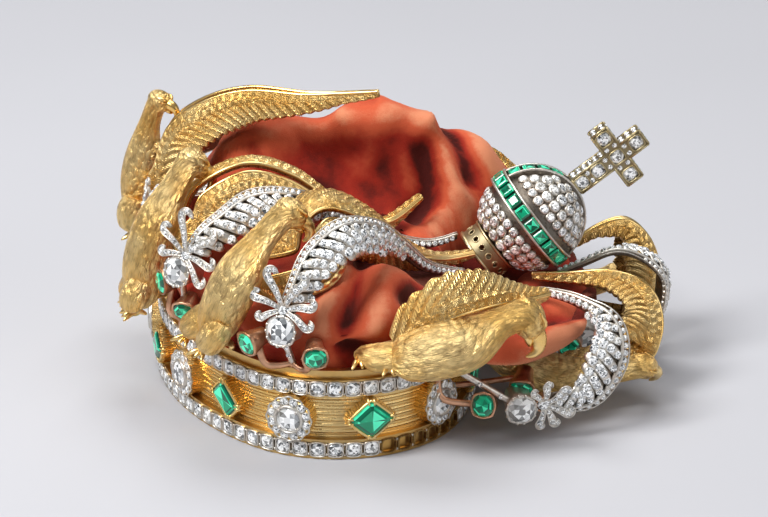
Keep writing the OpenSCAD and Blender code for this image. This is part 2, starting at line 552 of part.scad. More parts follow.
module palmette(k) {
    row = palmettes[k];
    foot = figure_base(row[0], row[2][2]);
    base = foot + [0, 0, 1.5 * wire_r];
    big = from_slot(row[0], row[2]);
    fan = from_slot(row[0], row[5]);
    n = stone_out(k);
    d = fan_way(k);
    s = cross(d, n);
    color(old_silver) union() {
        skin(leaf_rings(k));
        post(foot);
        setting(big, n, palmette_stone_d, big_setting_h);
        bone(base, big - n * big_setting_h * 0.6, wire_r, wire_r, 4);
        bone(big - n * big_setting_h * 0.7, fan - n * hub_h / 2, wire_r, wire_r * 0.9, 4);
        setting(fan + n * stone_gap, n, hub_d - 2 * setting_wall, hub_h);
        for (j = [0, 1]) {
            p = from_slot(row[0], row[3 + j]);
            back = p - side_out(k, 2 * j - 1) * side_setting_h * 0.8;
            setting(p, side_out(k, 2 * j - 1), side_stone_d, side_setting_h);
            bone(base - [0, 0, (j + 1) * leaf_step], back, wire_r * 0.9, wire_r, 4);
        }
        for (i = [0:len(fan_leaves) - 1]) {
            leaf = fan_leaves[i];
            way = d * cos(leaf[0]) + s * sin(leaf[0]);
            root = fan - n * (hub_h + i * leaf_step) / 2;
            bone(root + way * hub_d * 0.32, root + way * leaf[1] * row[1] * figure_h,
                wire_r * 0.5, leaf[2] * figure_h / 2, 4);
        }
    }
}
module palmette_stones(k, from, to, d) {
    places = [for (j = [from:to])
        facing_place(from_slot(palmettes[k][0], palmettes[k][2 + j]),
            j == 0 ? stone_out(k) : side_out(k, 2 * j - 3), [0, 0.2, 1])];
    small_stones(places, stone_outline(d, d, cushion_corner), d);
}
module palmette_diamond(k) color(white_stone) palmette_stones(k, 0, 0, palmette_stone_d);
module palmette_emeralds(k) color(green_stone) palmette_stones(k, 1, 2, side_stone_d);

// Where the arches, the globe and the collar press on the velvet: place, outward direction,
// half width and depth of each dent
dent_side = 3.4;
dent_depth = 2.8;
dent_reach = 14;
dent_samples = 20;
function wing_dents(k) =
    let (line = wing_line(k), fold = wing_lines[k][0], inner = from_shares(wing_lines[k][2]))
    [for (i = [2:dent_samples])
        let (t = i / dent_samples, w = wing_w * lookup(t, wing_width))
        [on_line(line, t), out_at(line, t, inner),
            wing_gap * abs(lookup(t, wing_apart)) + w * cos(fold) + dent_side,
            w * (sin(fold) + 0.1) + sheet_t + dent_depth]];
function leaf_dents(k) =
    let (line = leaf_line(k), inner = from_shares(leaf_lines[k][1]))
    [for (i = [0:dent_samples])
        let (t = i / dent_samples, w = leaf_w * lookup(t, leaf_width) / 2)
        [on_line(line, t), out_at(line, t, inner), w * (1 + abs(leaf_lines[k][0])) + dent_side,
            w * 0.3 + sheet_t + dent_depth]];
function body_dents(k) =
    let (e = eagles[k], line = body_line(e), way = press_way(e[0], e[8][2]), thigh = eagle_w * 0.2 + dent_side)
    concat([for (i = [0:5]) let (r = body_girth[i] * e[1] * eagle_w / 2 + dent_side) [line[i], way, r, r]],
        [for (foot = [from_slot(e[0], e[2]), from_slot(e[0], e[3]), figure_base(e[0], e[8][2])], t = [0, 0.5])
            [mix(foot, line[1], t), way, thigh, thigh]]);
function stone_dents(k) =
    let (row = palmettes[k], way = press_way(row[0], row[2][2]))
    [for (j = [0:2], t = [0:0.2:1])
        let (d = (j == 0 ? palmette_stone_d : side_stone_d) * t, h = j == 0 ? big_setting_h : side_setting_h)
        [from_slot(row[0], row[2 + j] * t), way, d / 2 + setting_wall + dent_side, h * t + dent_depth]];
// The velvet lies inside a figure that stands and over one that hangs below the band's edge
function press_way(i, up) = up < 0 ? [0, 0, -1] : let (o = slot_at(i, 0)) [cos(o[2]), sin(o[2]), 0];
globe_axis = [sin(globe_lean) * cos(globe_turn), sin(globe_lean) * sin(globe_turn), cos(globe_lean)];
dents = concat(
    [for (k = [0:6]) each concat(wing_dents(k), body_dents(k))],
    [for (k = [0:7]) each concat(leaf_dents(k), stone_dents(k))],
    [[globe_c, [0, 0, 1], belt_r + dent_side, belt_r + dent_depth],
        [globe_c - globe_axis * (collar_top + collar_h / 2), [0, 0, 1], collar_d * 0.75, collar_d * 0.75]]
);
function dent_at(p, e) =
    let (d = p - e[0], h = d * e[1], s = pow(norm(d - e[1] * h) / e[2], 6))
    s < 1 && h < dent_reach ? h + e[3] * sqrt(1 - s) : 0;
function pressed(p, share) =
    let (all = [for (e = dents) dent_at(p, e)], most = max(all))
    most > 0 ? p - dents[search(most, all)[0]][1] * most * share : p;

// Velvet cap: rings from the hem over the band's edge and the widest line to the middle of the top
function edge_share(slot, column) = lookup(slot, [for (row = cap_edge) [row[0], row[column]]]);
function hill(x, y, h) =
    let (dx = (x / band_half_w - h[0]) / h[3], dy = (y / band_half_l - h[1]) * band_half_l / band_half_w / h[4])
    h[2] * exp(-dx * dx - dy * dy);
function cap_height(x, y) = band_h + arch_rise * (cap_level + sum([for (h = cap_hills) hill(x, y, h)]));
cap_lip = 1.2;
over_lip = 3.4;
under_rows = [0.2, 0.5, 0.85];
top_rows = [0.05, 0.13, 0.24, 0.38, 0.54, 0.72, 0.88];
function cap_column(j) =
    let (slot = j * slot_n / cap_sides, hem = slot_at(slot, -band_wall - hem_gap), rim = slot_at(slot, 0),
        out = [cos(hem[2]), sin(hem[2])], reach = edge_share(slot, 1) * cap_swell,
        widest = band_h + edge_share(slot, 2) * arch_rise, under = band_h + edge_share(slot, 3) * arch_rise,
        at = [hem[0], hem[1]], far = at + out * reach,
        mid = [cap_centre[0] * band_half_w, cap_centre[1] * band_half_l])
    concat(
        [[at[0], at[1], band_h - hem_depth], [at[0], at[1], band_h - cap_lip], [at[0], at[1], band_h + over_lip]],
        [for (u = under_rows) let (p = mix(at, far, u), over = reach * u < cap_over)
            [p[0], p[1], over ? max(under, band_h + over_lip) + u * cap_lip : under]],
        [[far[0], far[1], widest]],
        [for (u = top_rows) let (p = mix(far, mid, u), f = sin(90 * pow(min(1, u / 0.6), 0.5)))
            [p[0], p[1], mix(widest, cap_height(p[0], p[1]), f)]]
    );
hem_rows = 2;
wide_row = hem_rows + 1 + len(under_rows);
press_step = 0.03;
cap_over = band_wall + hem_gap + low_rail_out + 2 * velvet_t;
function cap_columns() = [for (j = [0:cap_sides - 1])
    let (column = cap_column(j))
    [for (i = [0:len(column) - 1]) let (share = 1 + max(0, wide_row - i) * press_step)
        let (p = i < hem_rows ? column[i] : pressed(pressed(column[i], share), share))
        i > hem_rows ? p : [column[i][0], column[i][1], max(p[2], column[i][2])]]];
function cap_normal(columns, i, j) =
    let (n = cap_sides, m = len(columns[0]) - 1, up = columns[j][min(i + 1, m)] - columns[j][max(i - 1, 0)],
        on = columns[(j + 1) % n][i] - columns[(j + n - 1) % n][i])
    unit(cross(on, up));
module velvet_cap() {
    columns = cap_columns();
    n = cap_sides;
    m = len(columns[0]);
    inner_at = m * n;
    mid = [cap_centre[0] * band_half_w, cap_centre[1] * band_half_l];
    peak = [mid[0], mid[1], cap_height(mid[0], mid[1])];
    points = concat([for (i = [0:m - 1], j = [0:n - 1]) columns[j][i]],
        [for (i = [0:m - 1], j = [0:n - 1]) columns[j][i] - cap_normal(columns, i, j) * velvet_t],
        [peak, peak - [0, 0, velvet_t]]);
    walls = [for (i = [0:m - 2], j = [0:n - 1]) let (k = (j + 1) % n, a = i * n, b = a + n)
        each [[a + k, a + j, b + j], [a + k, b + j, b + k],
            [inner_at + a + j, inner_at + a + k, inner_at + b + j],
            [inner_at + a + k, inner_at + b + k, inner_at + b + j]]];
    ends = [for (j = [0:n - 1]) let (k = (j + 1) % n, b = (m - 1) * n)
        each [[b + k, b + j, 2 * inner_at], [inner_at + b + j, inner_at + b + k, 2 * inner_at + 1],
            [j, k, inner_at + j], [k, inner_at + k, inner_at + j]]];
    color([0.72, 0.16, 0.1]) polyhedron(points, concat(walls, ends));
}

module in_globe() {
    translate(globe_c) rotate([0, globe_lean, globe_turn]) children();
}
foot_half = 12;
belt_edge = asin(belt_w / 2 / globe_r);
hoop_from = asin((belt_w / 2 - stone_gap) / globe_r);
module belt_profile(r) {
    wall = (belt_w - belt_stone_w) / 2 - stone_gap;
    translate([r, 0]) difference() {
        translate([-2, -belt_w / 2]) square([2 + belt_out, belt_w]);
        translate([stone_gap, -belt_w / 2 + wall]) square([belt_out, belt_w - 2 * wall]);
    }
}
module collar() {
    color(gold) in_globe() translate([0, 0, -collar_top - collar_h]) difference() {
        cylinder(r = collar_r, h = collar_h, $fn = 64);
        translate([0, 0, -1]) cylinder(r = collar_r - collar_wall, h = collar_h + 2, $fn = 64);
        for (i = [0:slot_n - 1])
            translate([0, 0, collar_h / 2]) rotate([90, 0, (i + 0.5) * 360 / slot_n])
                translate([0, 0, collar_r - 2 * collar_wall])
                    cylinder(d = collar_hole_d, h = 3 * collar_wall, $fn = 16);
    }
}
module globe() {
    color(old_silver) in_globe() union() {
        sphere(globe_r, $fn = 64);
        rotate_extrude($fn = round_fn) belt_profile(globe_r);
        rotate([90, 0, 0]) rotate(hoop_from)
            rotate_extrude(angle = 180 - 2 * hoop_from, $fn = round_fn) belt_profile(globe_r);
    }
}
function belt_place(a) =
    let (p = [cos(a), sin(a), 0])
    [p * (globe_r + 2 * stone_gap), [-sin(a), cos(a), 0], [0, 0, 1], p];
function hoop_place(a) =
    let (p = [cos(a), 0, sin(a)])
    [p * (globe_r + 2 * stone_gap), [-sin(a), 0, cos(a)], [0, -1, 0], p];
module globe_emeralds() {
    step = 360 / belt_n;
    hoop = [for (a = [belt_edge + step / 2:step:90 - foot_half], side = [0, 1])
        hoop_place(side == 0 ? a : 180 - a)];
    belt = [for (i = [0:belt_n - 1]) belt_place((i + 0.5) * step)];
    color(green_stone) in_globe()
        small_stones(concat(belt, hoop), square_outline(belt_stone_w), belt_stone_w);
}

// Cross: a box frame in the plane of the hoop, with a pocket for each large stone
cross_foot = belt_r + part_gap;
cross_c = cross_foot + cross_h - cross_span / 2;
cross_pitch = (cross_span - cross_arm_w) / 2;
cross_seats = [[0, 0], [0, 1], [-1, 0], [1, 0], [0, -1], [0, -2]];
pocket = cross_stone_d + 2 * stone_gap;
pocket_depth = 1.1;
pocket_floor = cross_t / 2 - pocket_depth;
module cross_solid() {
    translate([-cross_arm_w / 2, -cross_t / 2, cross_foot]) cube([cross_arm_w, cross_t, cross_h]);
    translate([-cross_span / 2, -cross_t / 2, cross_c - cross_arm_w / 2]) cube([cross_span, cross_t, cross_arm_w]);
}
function seat_at(s) = [s[0] * cross_pitch, 0, cross_c + s[1] * cross_pitch * (s[1] < -1 ? 0.92 : 1)];
module cross() {
    color(gold) in_globe() difference() {
        cross_solid();
        for (s = cross_seats)
            translate(seat_at(s) - [pocket / 2, cross_t, pocket / 2])
                cube([pocket, cross_t - pocket_floor, pocket]);
    }
}
module cross_stones() {
    places = [for (s = cross_seats)
        [seat_at(s) - [0, pocket_floor + stone_gap, 0], [1, 0, 0], [0, 0, 1], [0, -1, 0]]];
    color(white_stone) in_globe()
        small_stones(places, stone_outline(cross_stone_d, cross_stone_d, cushion_corner), cross_stone_d);
}

band();
rail_stones_upper();
rail_stones_lower();
for (k = [0:7]) cluster_diamond(k);
for (k = [0:7]) band_emerald(k);
for (k = [0:6]) eagle(k);
for (k = [0:7]) palmette(k);
for (k = [0:7]) palmette_diamond(k);
for (k = [0:7]) palmette_emeralds(k);
velvet_cap();
collar();
globe();
globe_emeralds();
cross();
cross_stones();
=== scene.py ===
# Closed crown, folded over to one side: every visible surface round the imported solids
import math

import bmesh
import bpy
import numpy as np
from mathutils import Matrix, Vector, noise


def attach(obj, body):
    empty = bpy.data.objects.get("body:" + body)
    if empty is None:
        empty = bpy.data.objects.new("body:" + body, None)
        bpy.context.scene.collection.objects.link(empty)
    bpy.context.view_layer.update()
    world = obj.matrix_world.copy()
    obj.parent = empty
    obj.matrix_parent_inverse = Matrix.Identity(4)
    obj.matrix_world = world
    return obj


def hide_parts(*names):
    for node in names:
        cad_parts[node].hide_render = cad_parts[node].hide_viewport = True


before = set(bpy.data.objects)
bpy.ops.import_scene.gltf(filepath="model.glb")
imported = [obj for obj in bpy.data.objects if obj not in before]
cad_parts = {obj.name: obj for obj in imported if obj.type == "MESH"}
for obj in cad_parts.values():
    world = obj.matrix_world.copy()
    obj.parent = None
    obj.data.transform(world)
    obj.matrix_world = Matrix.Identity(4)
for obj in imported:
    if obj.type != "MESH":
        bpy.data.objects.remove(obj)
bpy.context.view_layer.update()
rng = np.random.default_rng(11)
mm = 0.001  # tables are in millimetres, objects in metres

crown = {  # the band's oval and the heights that everything is placed by
    "halfWide": 45, "halfLong": 65, "endRadius": 36, "turn": 13, "slots": 16, "firstSlot": -0.98,
    "bandHigh": 27, "bandWall": 1.6, "lowRail": 6, "upRail": 5.2, "lip": 2.8, "lowOut": 1.8, "upOut": 1.0,
    "archRise": 60, "figureHigh": 40, "post": 1.1, "postHigh": 1.6,
}


# Places and lines
def unit(v):
    v = np.asarray(v, float)
    return v / np.maximum(np.linalg.norm(v, axis=-1, keepdims=True), 1e-9)


endC = crown["halfLong"] - crown["endRadius"]
sideR = ((crown["halfWide"] ** 2 + endC ** 2 - crown["endRadius"] ** 2)
         / (2 * (crown["halfWide"] - crown["endRadius"])))
sideC = sideR - crown["halfWide"]
sideHalf = math.atan2(endC, sideC)
endLen, sideLen = (math.pi / 2 - sideHalf) * crown["endRadius"], sideHalf * sideR
ovalLen = 4 * (endLen + sideLen)
slotLen = ovalLen / crown["slots"]
motifZ = crown["lowRail"] + (crown["bandHigh"] - crown["lowRail"] - crown["upRail"] - crown["lip"]) / 2


def onOval(along, off):  # x, y and outward angle on the oval
    s, r = along % ovalLen, crown["endRadius"]
    arcs = [(0, -endC, r, -math.pi / 2, 0), (-sideC, 0, sideR, 0, endLen + sideLen),
            (0, endC, r, math.pi / 2, 2 * endLen + 2 * sideLen), (sideC, 0, sideR, math.pi, 3 * endLen + 3 * sideLen),
            (0, -endC, r, -math.pi / 2, ovalLen)]
    ends = [endLen, endLen + 2 * sideLen, 3 * endLen + 2 * sideLen, 3 * endLen + 4 * sideLen, ovalLen]
    x, y, radius, middle, at = arcs[next(i for i, end in enumerate(ends) if s <= end + 1e-9)]
    angle, turn = middle + (s - at) / radius, math.radians(crown["turn"])
    px, py = x + (radius + off) * math.cos(angle), y + (radius + off) * math.sin(angle)
    return (px * math.cos(turn) - py * math.sin(turn), px * math.sin(turn) + py * math.cos(turn), angle + turn)


def slotAt(i, off=0):
    return onOval((crown["firstSlot"] + i) * slotLen, off)


def fromSlot(i, share):  # out, side and up from a slot's place on top of the band
    x, y, a = slotAt(i)
    out, side, up = (c * crown["figureHigh"] for c in share)
    return np.array([x + out * math.cos(a) - side * math.sin(a), y + out * math.sin(a) + side * math.cos(a),
                     crown["bandHigh"] + up])


def postFoot(i, hang):  # a figure's post stands on the band, or over its upper rail when the figure hangs outwards
    return fromSlot(i, (0.05 if hang else 0, 0, 0)) + [0, 0, 0.3 - (crown["lip"] if hang else 0)]


def fromShares(p):
    p = np.asarray(p, float)
    return p * [crown["halfWide"], crown["halfLong"], crown["archRise"]] + [0, 0, crown["bandHigh"]]


def along(points, ts):  # smooth line through points
    p, ts = np.asarray(points, float), np.atleast_1d(ts)
    m = len(p) - 1
    s = np.clip(ts * m, 0, m - 1e-4)
    i = s.astype(int)
    f = (s - i)[:, None]
    a, b, c, d = p[np.maximum(i - 1, 0)], p[i], p[i + 1], p[np.minimum(i + 2, m)]
    return (2 * b + (c - a) * f + (2 * a - 5 * b + 4 * c - d) * f * f + (3 * b - a - 3 * c + d) * f ** 3) / 2


def wayAlong(points, ts):
    return unit(along(points, np.minimum(ts + 0.02, 1)) - along(points, np.maximum(ts - 0.02, 0)))


def outAlong(points, ts, inner):
    way, o = wayAlong(points, ts), along(points, ts) - inner
    return unit(o - way * (o * way).sum(-1, keepdims=True))


def lengths(path):
    return np.concatenate([[0], np.cumsum(np.linalg.norm(np.diff(path, axis=0), axis=1))])


def smooth(x, low, high):
    t = np.clip((x - low) / (high - low), 0, 1)
    return t * t * (3 - 2 * t)


def wallPlace(s, off, z):
    x, y, a = onOval(s, off)
    return (np.array([x, y, z]), np.array([-math.sin(a), math.cos(a), 0]), np.array([0, 0, 1.0]),
            np.array([math.cos(a), math.sin(a), 0]))


def facing(p, out, up=(0, 0.2, 1)):
    n = unit(out)
    right = unit(np.cross(up, n))
    return np.asarray(p, float), right, np.cross(n, right), n


# Shapes
class Shape:  # gathers points and faces in millimetres, then becomes one object
    def __init__(self):
        self.points, self.faces, self.slots, self.rounded = [], [], [], []
        self.flow, self.worn, self.facetGlint = [], [], []
        self.count = 0

    # each point's wear value also holds painted light: low values paint shade in hollows, creases and on back faces,
    # high values paint lit, rubbed ridges
    def add(self, points, faces, slot=0, rounded=True, flow=None, worn=0.8):
        points = np.asarray(points, float)
        n, start = len(points), self.count
        self.points.append(points)
        self.faces += [tuple(start + i for i in f) for f in faces]
        self.slots += [slot] * len(faces)
        self.rounded += [rounded] * len(faces)
        self.flow.append(np.zeros((n, 3)) if flow is None else np.asarray(flow, float))
        self.worn.append(np.full(n, worn, float) if np.isscalar(worn) else np.asarray(worn, float))
        # random value per face, which the stone finishes use for painted facet glints
        self.facetGlint += list(rng.random(len(faces)))
        self.count += n

    def build(self, name, finishes, slotName, replaces=()):
        mesh = bpy.data.meshes.new(name)
        mesh.from_pydata((np.vstack(self.points) * mm).tolist(), [], self.faces)
        for key, kind, field, values in (("flow", "FLOAT_VECTOR", "vector", np.vstack(self.flow)),
                                         ("worn", "FLOAT", "value", np.concatenate(self.worn))):
            layer = mesh.attributes.new(key, kind, "POINT")
            layer.data.foreach_set(field, values.astype(np.float32).ravel())
        layer = mesh.attributes.new("facetGlint", "FLOAT", "FACE")
        layer.data.foreach_set("value", np.array(self.facetGlint, np.float32))
        mesh.polygons.foreach_set("material_index", self.slots)
        mesh.polygons.foreach_set("use_smooth", self.rounded)
        work = bmesh.new()
        work.from_mesh(mesh)
        bmesh.ops.recalc_face_normals(work, faces=work.faces)
        work.to_mesh(mesh)
        work.free()
        for finish in finishes:
            mesh.materials.append(finish)
        piece = bpy.data.objects.new(name, mesh)
        bpy.context.scene.collection.objects.link(piece)
        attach(piece, "root")
        if replaces:
            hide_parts(*replaces)
        return piece


def gridFaces(rows, columns, wrap=False):
    last = columns if wrap else columns - 1
    return [(i * columns + j, i * columns + (j + 1) % columns, (i + 1) * columns + (j + 1) % columns,
             (i + 1) * columns + j) for i in range(rows - 1) for j in range(last)]


# back faces get a lower wear value than the front: painted shade on the backs
def sheetSolid(shape, front, back, slot=0, backSlot=None, flow=None, worn=0.8, backWearAndLight=0.5):
    rows, columns = front.shape[:2]
    n = rows * columns
    points = np.concatenate([front.reshape(-1, 3), back.reshape(-1, 3)])
    faces = gridFaces(rows, columns)
    rim = ([(0, j) for j in range(columns)] + [(i, columns - 1) for i in range(1, rows)]
           + [(rows - 1, j) for j in range(columns - 2, -1, -1)] + [(i, 0) for i in range(rows - 2, 0, -1)])
    edge = [i * columns + j for i, j in rim]
    sides = [(a, b, n + b, n + a) for a, b in zip(edge, edge[1:] + edge[:1])]
    flows = None if flow is None else np.concatenate([flow.reshape(-1, 3)] * 2)
    worns = np.concatenate([np.broadcast_to(worn, front.shape[:2]).ravel(), np.full(n, backWearAndLight)])
    shape.add(points, faces + [tuple(n + i for i in f[::-1]) for f in faces] + sides, slot, True, flows, worns)
    if backSlot is not None:
        start = len(shape.slots) - len(faces) - len(sides)
        shape.slots[start:start + len(faces)] = [backSlot] * len(faces)


def tube(shape, path, radii, sides=8, slot=0, tall=1.0, ups=None, worn=0.8, rounded=True, across=None):
    path = np.asarray(path, float)
    n = len(path)
    radii = np.broadcast_to(radii, n)
    ways = unit(np.gradient(path, axis=0))
    if ups is None:
        up = np.cross(ways[0], [0.31, 0.87, 0.37])
        ups = []
        for way in ways:
            up = unit(up - way * (up @ way))
            ups.append(up)
    ups = np.asarray(ups, float)
    ups = unit(ups - ways * (ups * ways).sum(-1, keepdims=True))
    rights = np.cross(ways, ups)
    turn = np.arange(sides) * 2 * math.pi / sides
    ring = (rights[:, None] * np.cos(turn)[None, :, None] + ups[:, None] * (np.sin(turn) * tall)[None, :, None])
    points = path[:, None] + ring * radii[:, None, None]
    s = lengths(path)
    halfway = 1 - abs(turn / math.pi - 1)  # there and back, so that no seam shows
    flow = np.stack([np.repeat(s, sides), np.tile(halfway, n) * (across or 6.3 * radii.max()) / 2,
                     np.zeros(n * sides)], 1)
    faces = gridFaces(n, sides, True) + [tuple(range(sides))[::-1], tuple(range((n - 1) * sides, n * sides))]
    worns = np.repeat(np.broadcast_to(worn, n), sides)
    shape.add(points.reshape(-1, 3), faces, slot, rounded, flow, worns)


def ball(shape, centre, radii, axes=None, slot=0, rows=10, sides=12, worn=0.8, across=9):
    axes = np.eye(3) if axes is None else np.asarray(axes, float)
    lat = np.linspace(-math.pi / 2 + 0.05, math.pi / 2 - 0.05, rows)
    turn = np.arange(sides) * 2 * math.pi / sides
    local = np.stack([np.outer(np.cos(lat), np.cos(turn)), np.outer(np.cos(lat), np.sin(turn)),
                      np.outer(np.sin(lat), np.ones(sides))], -1) * radii
    points = centre + local.reshape(-1, 3) @ axes
    flow = np.stack([np.repeat(lat, sides) * max(radii), np.tile(turn, rows) / 6.3 * across,
                     np.zeros(rows * sides)], 1)
    faces = gridFaces(rows, sides, True) + [tuple(range(sides))[::-1],
                                            tuple(range((rows - 1) * sides, rows * sides))]
    shape.add(points, faces, slot, True, flow, worn)


def outline(sides, square=2.0, lobes=0, lobe=0.0, turn=0.0, stretch=1.0):  # closed outline of width 1
    a = np.arange(sides) * 2 * math.pi / sides + turn
    c, s = np.cos(a), np.sin(a)
    r = 0.5 / (abs(c) ** square + abs(s) ** square) ** (1 / square) * (1 + lobe * np.cos(lobes * a))
    return np.stack([c * r * stretch, s * r], 1)


def turned(profile, ring):  # a ring's outline at several scales and heights, closed at both ends
    sides = len(ring)
    points = np.concatenate([np.column_stack([ring * scale, np.full(sides, z)]) for scale, z in profile])
    n = len(profile)
    return points, gridFaces(n, sides, True) + [tuple(range(sides))[::-1], tuple(range((n - 1) * sides, n * sides))]


def hoop(profile, ring):  # as turned, but an open ring with a hole through it
    points, faces = turned(profile, ring)
    sides, n = len(ring), len(profile)
    faces = faces[:-2] + [((n - 1) * sides + j, (n - 1) * sides + (j + 1) % sides, (j + 1) % sides, j)
                          for j in range(sides)]
    return points, faces


def brilliant(sides, square=2.0, table=0.56):  # round or cushion stone of width 1
    half = math.pi / sides
    rim = outline(2 * sides, square)
    mid = outline(sides, square) * 0.8
    top = outline(sides, square, turn=half) * table
    n = sides
    points = np.concatenate([np.column_stack([top, np.full(n, 0.16)]), np.column_stack([mid, np.full(n, 0.1)]),
                             np.column_stack([rim, np.zeros(2 * n)]), [[0, 0, -0.36]]])
    inner = outline(sides, square) * table * 0.45
    points = np.concatenate([points, np.column_stack([inner, np.full(n, 0.16)])])
    t, k, g, culet = (lambda j: j % n), (lambda j: n + j % n), (lambda j: 2 * n + j % (2 * n)), 4 * n
    c = (lambda j: culet + 1 + j % n)
    faces = [tuple(range(culet + 1, culet + 1 + n))]
    for j in range(n):
        faces += [(t(j - 1), c(j - 1), c(j)), (t(j - 1), c(j), t(j))]  # the table, split as its reflections are
        faces += [(t(j - 1), k(j), t(j)), (t(j), k(j), g(2 * j + 1), k(j + 1)), (k(j), g(2 * j), g(2 * j + 1)),
                  (k(j), g(2 * j - 1), g(2 * j)), (g(2 * j), culet, g(2 * j + 1)),
                  (g(2 * j + 1), culet, g(2 * j + 2))]
    return points, faces


def chip(sides, square=2.0):  # small stone: table and leaning facets over a flat back
    rim, top = outline(sides, square), outline(sides, square, turn=math.pi / sides) * 0.58
    points = np.concatenate([np.column_stack([rim, np.zeros(sides)]), np.column_stack([top, np.full(sides, 0.2)]),
                             [[0, 0, 0.2]]])
    faces = [tuple(range(sides))[::-1]]
    for j in range(sides):
        faces.append((sides + j, sides + (j + 1) % sides, 2 * sides))
        faces += [(j, (j + 1) % sides, sides + j), ((j + 1) % sides, sides + (j + 1) % sides, sides + j)]
    return points, faces


def stepCut(w, h, corner, turn=0.0, stretch=1.0):  # green stones: rows of parallel facets
    def rim(inset):
        a, b, c = w / 2 - inset, h / 2 - inset, corner * min(w, h) - inset * 0.4
        p = np.array([[a, c - b], [a, b - c], [a - c, b], [c - a, b],
                      [-a, b - c], [-a, c - b], [c - a, -b], [a - c, -b]])
        co, si = math.cos(math.radians(turn)), math.sin(math.radians(turn))
        return np.column_stack([(p[:, 0] * co - p[:, 1] * si) * stretch, p[:, 0] * si + p[:, 1] * co])
    size = min(w, h)
    rows = [(0.36, -0.34), (0.24, -0.26), (0.1, -0.13), (0, -0.02),
            (0, 0.02), (0.07, 0.09), (0.14, 0.14), (0.2, 0.165)]  # inset and height of each step
    points = np.concatenate([np.column_stack([rim(i * size), np.full(8, z * size)]) for i, z in rows]
                            + [[[0, 0, rows[-1][1] * size]]])
    n, top = len(rows), 8 * (len(rows) - 1)
    return points, (gridFaces(n, 8, True) + [tuple(range(8))[::-1]]
                    + [(top + j, top + (j + 1) % 8, 8 * n) for j in range(8)])


def putAt(shape, form, place, size, slot=0, worn=0.8, lift=0.0, rounded=True):  # place: origin and three axes
    points, faces = form
    origin, right, up, out = place
    at = origin + out * lift
    shape.add(at + (points[:, :1] * right + points[:, 1:2] * up + points[:, 2:] * out) * size, faces, slot, rounded,
              points * size, worn)


def setStone(shape, form, place, size, lift=0.0):  # flat facets
    putAt(shape, form, place, size, 0, 0.8, lift, False)


# Finishes
class Wire:  # one output of a finish's nodes, with arithmetic
    def __init__(self, finish, socket):
        self.finish, self.socket = finish, socket

    def maths(self, operation, *values):
        return self.finish.make("Math", {"operation": operation}, dict(enumerate(values)))

    def __add__(self, other): return self.maths("ADD", self, other)
    def __sub__(self, other): return self.maths("SUBTRACT", self, other)
    def __rsub__(self, other): return self.maths("SUBTRACT", other, self)
    def __mul__(self, other): return self.maths("MULTIPLY", self, other)
    def __truediv__(self, other): return self.maths("DIVIDE", self, other)
    def __abs__(self): return self.maths("ABSOLUTE", self)
    __radd__, __rmul__ = __add__, __mul__

    def floor(self): return self.maths("FLOOR", self)
    def fract(self): return self.maths("FRACT", self)
    def sine(self): return self.maths("SINE", self)
    def least(self, other): return self.maths("MINIMUM", self, other)

    def ramp(self, low, high):
        return self.finish.make("MapRange", {"interpolation_type": "SMOOTHSTEP"},
                                {"Value": self, "From Min": low, "From Max": high})


class Finish:  # one material
    def __init__(self, name):
        self.material = bpy.data.materials.new(name)
        self.material.use_nodes = True
        self.tree = self.material.node_tree
        self.shader = self.tree.nodes["Principled BSDF"]

    def put(self, socket, value):
        if isinstance(value, Wire):
            self.tree.links.new(value.socket, socket)
        else:
            socket.default_value = value

    def make(self, kind, settings=None, sockets=None, out=0):
        made = self.tree.nodes.new("ShaderNode" + kind)
        for key, value in (settings or {}).items():
            setattr(made, key, value)
        for key, value in (sockets or {}).items():
            self.put(made.inputs[key], value)
        return Wire(self, made.outputs[out])

    def mix(self, share, a, b):
        colours = [c if isinstance(c, Wire) else (*c, 1) for c in (a, b)]
        return self.make("Mix", {"data_type": "RGBA"}, {0: share, 6: colours[0], 7: colours[1]}, 2)

    def mark(self, name):  # a value kept in the mesh
        return self.make("Attribute", {"attribute_name": name}, out=2)

    def split(self, name):
        vector = self.make("Attribute", {"attribute_name": name}, out=1)
        parts = self.make("SeparateXYZ", None, {0: vector})
        return [Wire(self, parts.socket.node.outputs[i]) for i in range(2)]

    def noise(self, perMm, detail=2.0, rough=0.5):
        place = self.make("TexCoord", out=3)
        return self.make("TexNoise", None,
                         {"Vector": place, "Scale": perMm / mm, "Detail": detail, "Roughness": rough})

    def spot(self, x, y):
        return self.make("CombineXYZ", None, {0: x, 1: y})

    def noiseAt(self, place, detail=2.0):
        return self.make("TexNoise", None, {"Vector": place, "Scale": 1.0, "Detail": detail})

    def cellsAt(self, place):
        return self.make("TexVoronoi", None, {"Vector": place, "Scale": 1.0})

    def bump(self, height, deep):
        return self.make("Bump", None, {"Strength": 1.0, "Distance": deep * mm, "Height": height})

    def done(self, **sockets):
        for key, value in sockets.items():
            name = {"colour": "Base Color", "rough": "Roughness", "metal": "Metallic", "normal": "Normal",
                    "coat": "Coat Weight", "coatRough": "Coat Roughness", "ior": "IOR", "sheen": "Sheen Weight",
                    "sheenRough": "Sheen Roughness", "sheenTint": "Sheen Tint", "specular": "Specular IOR Level",
                    "glow": "Emission Color", "glowPower": "Emission Strength"}[key]
            value = (*value, 1) if isinstance(value, tuple) and len(value) == 3 else value
            self.put(self.shader.inputs[name], value)
        return self.material


# the hollow colour is dark brown patina, also used as painted shade
goldLook = {"bright": (0.92, 0.57, 0.17), "pale": (0.98, 0.74, 0.34), "hollow": (0.20, 0.085, 0.02), "rough": 0.25,
            "scaleLong": 2.6, "scaleWide": 2.0, "barbPitch": 0.7}
brassLook = {**goldLook, "bright": (0.50, 0.40, 0.21), "pale": (0.66, 0.56, 0.34), "hollow": (0.10, 0.07, 0.04)}


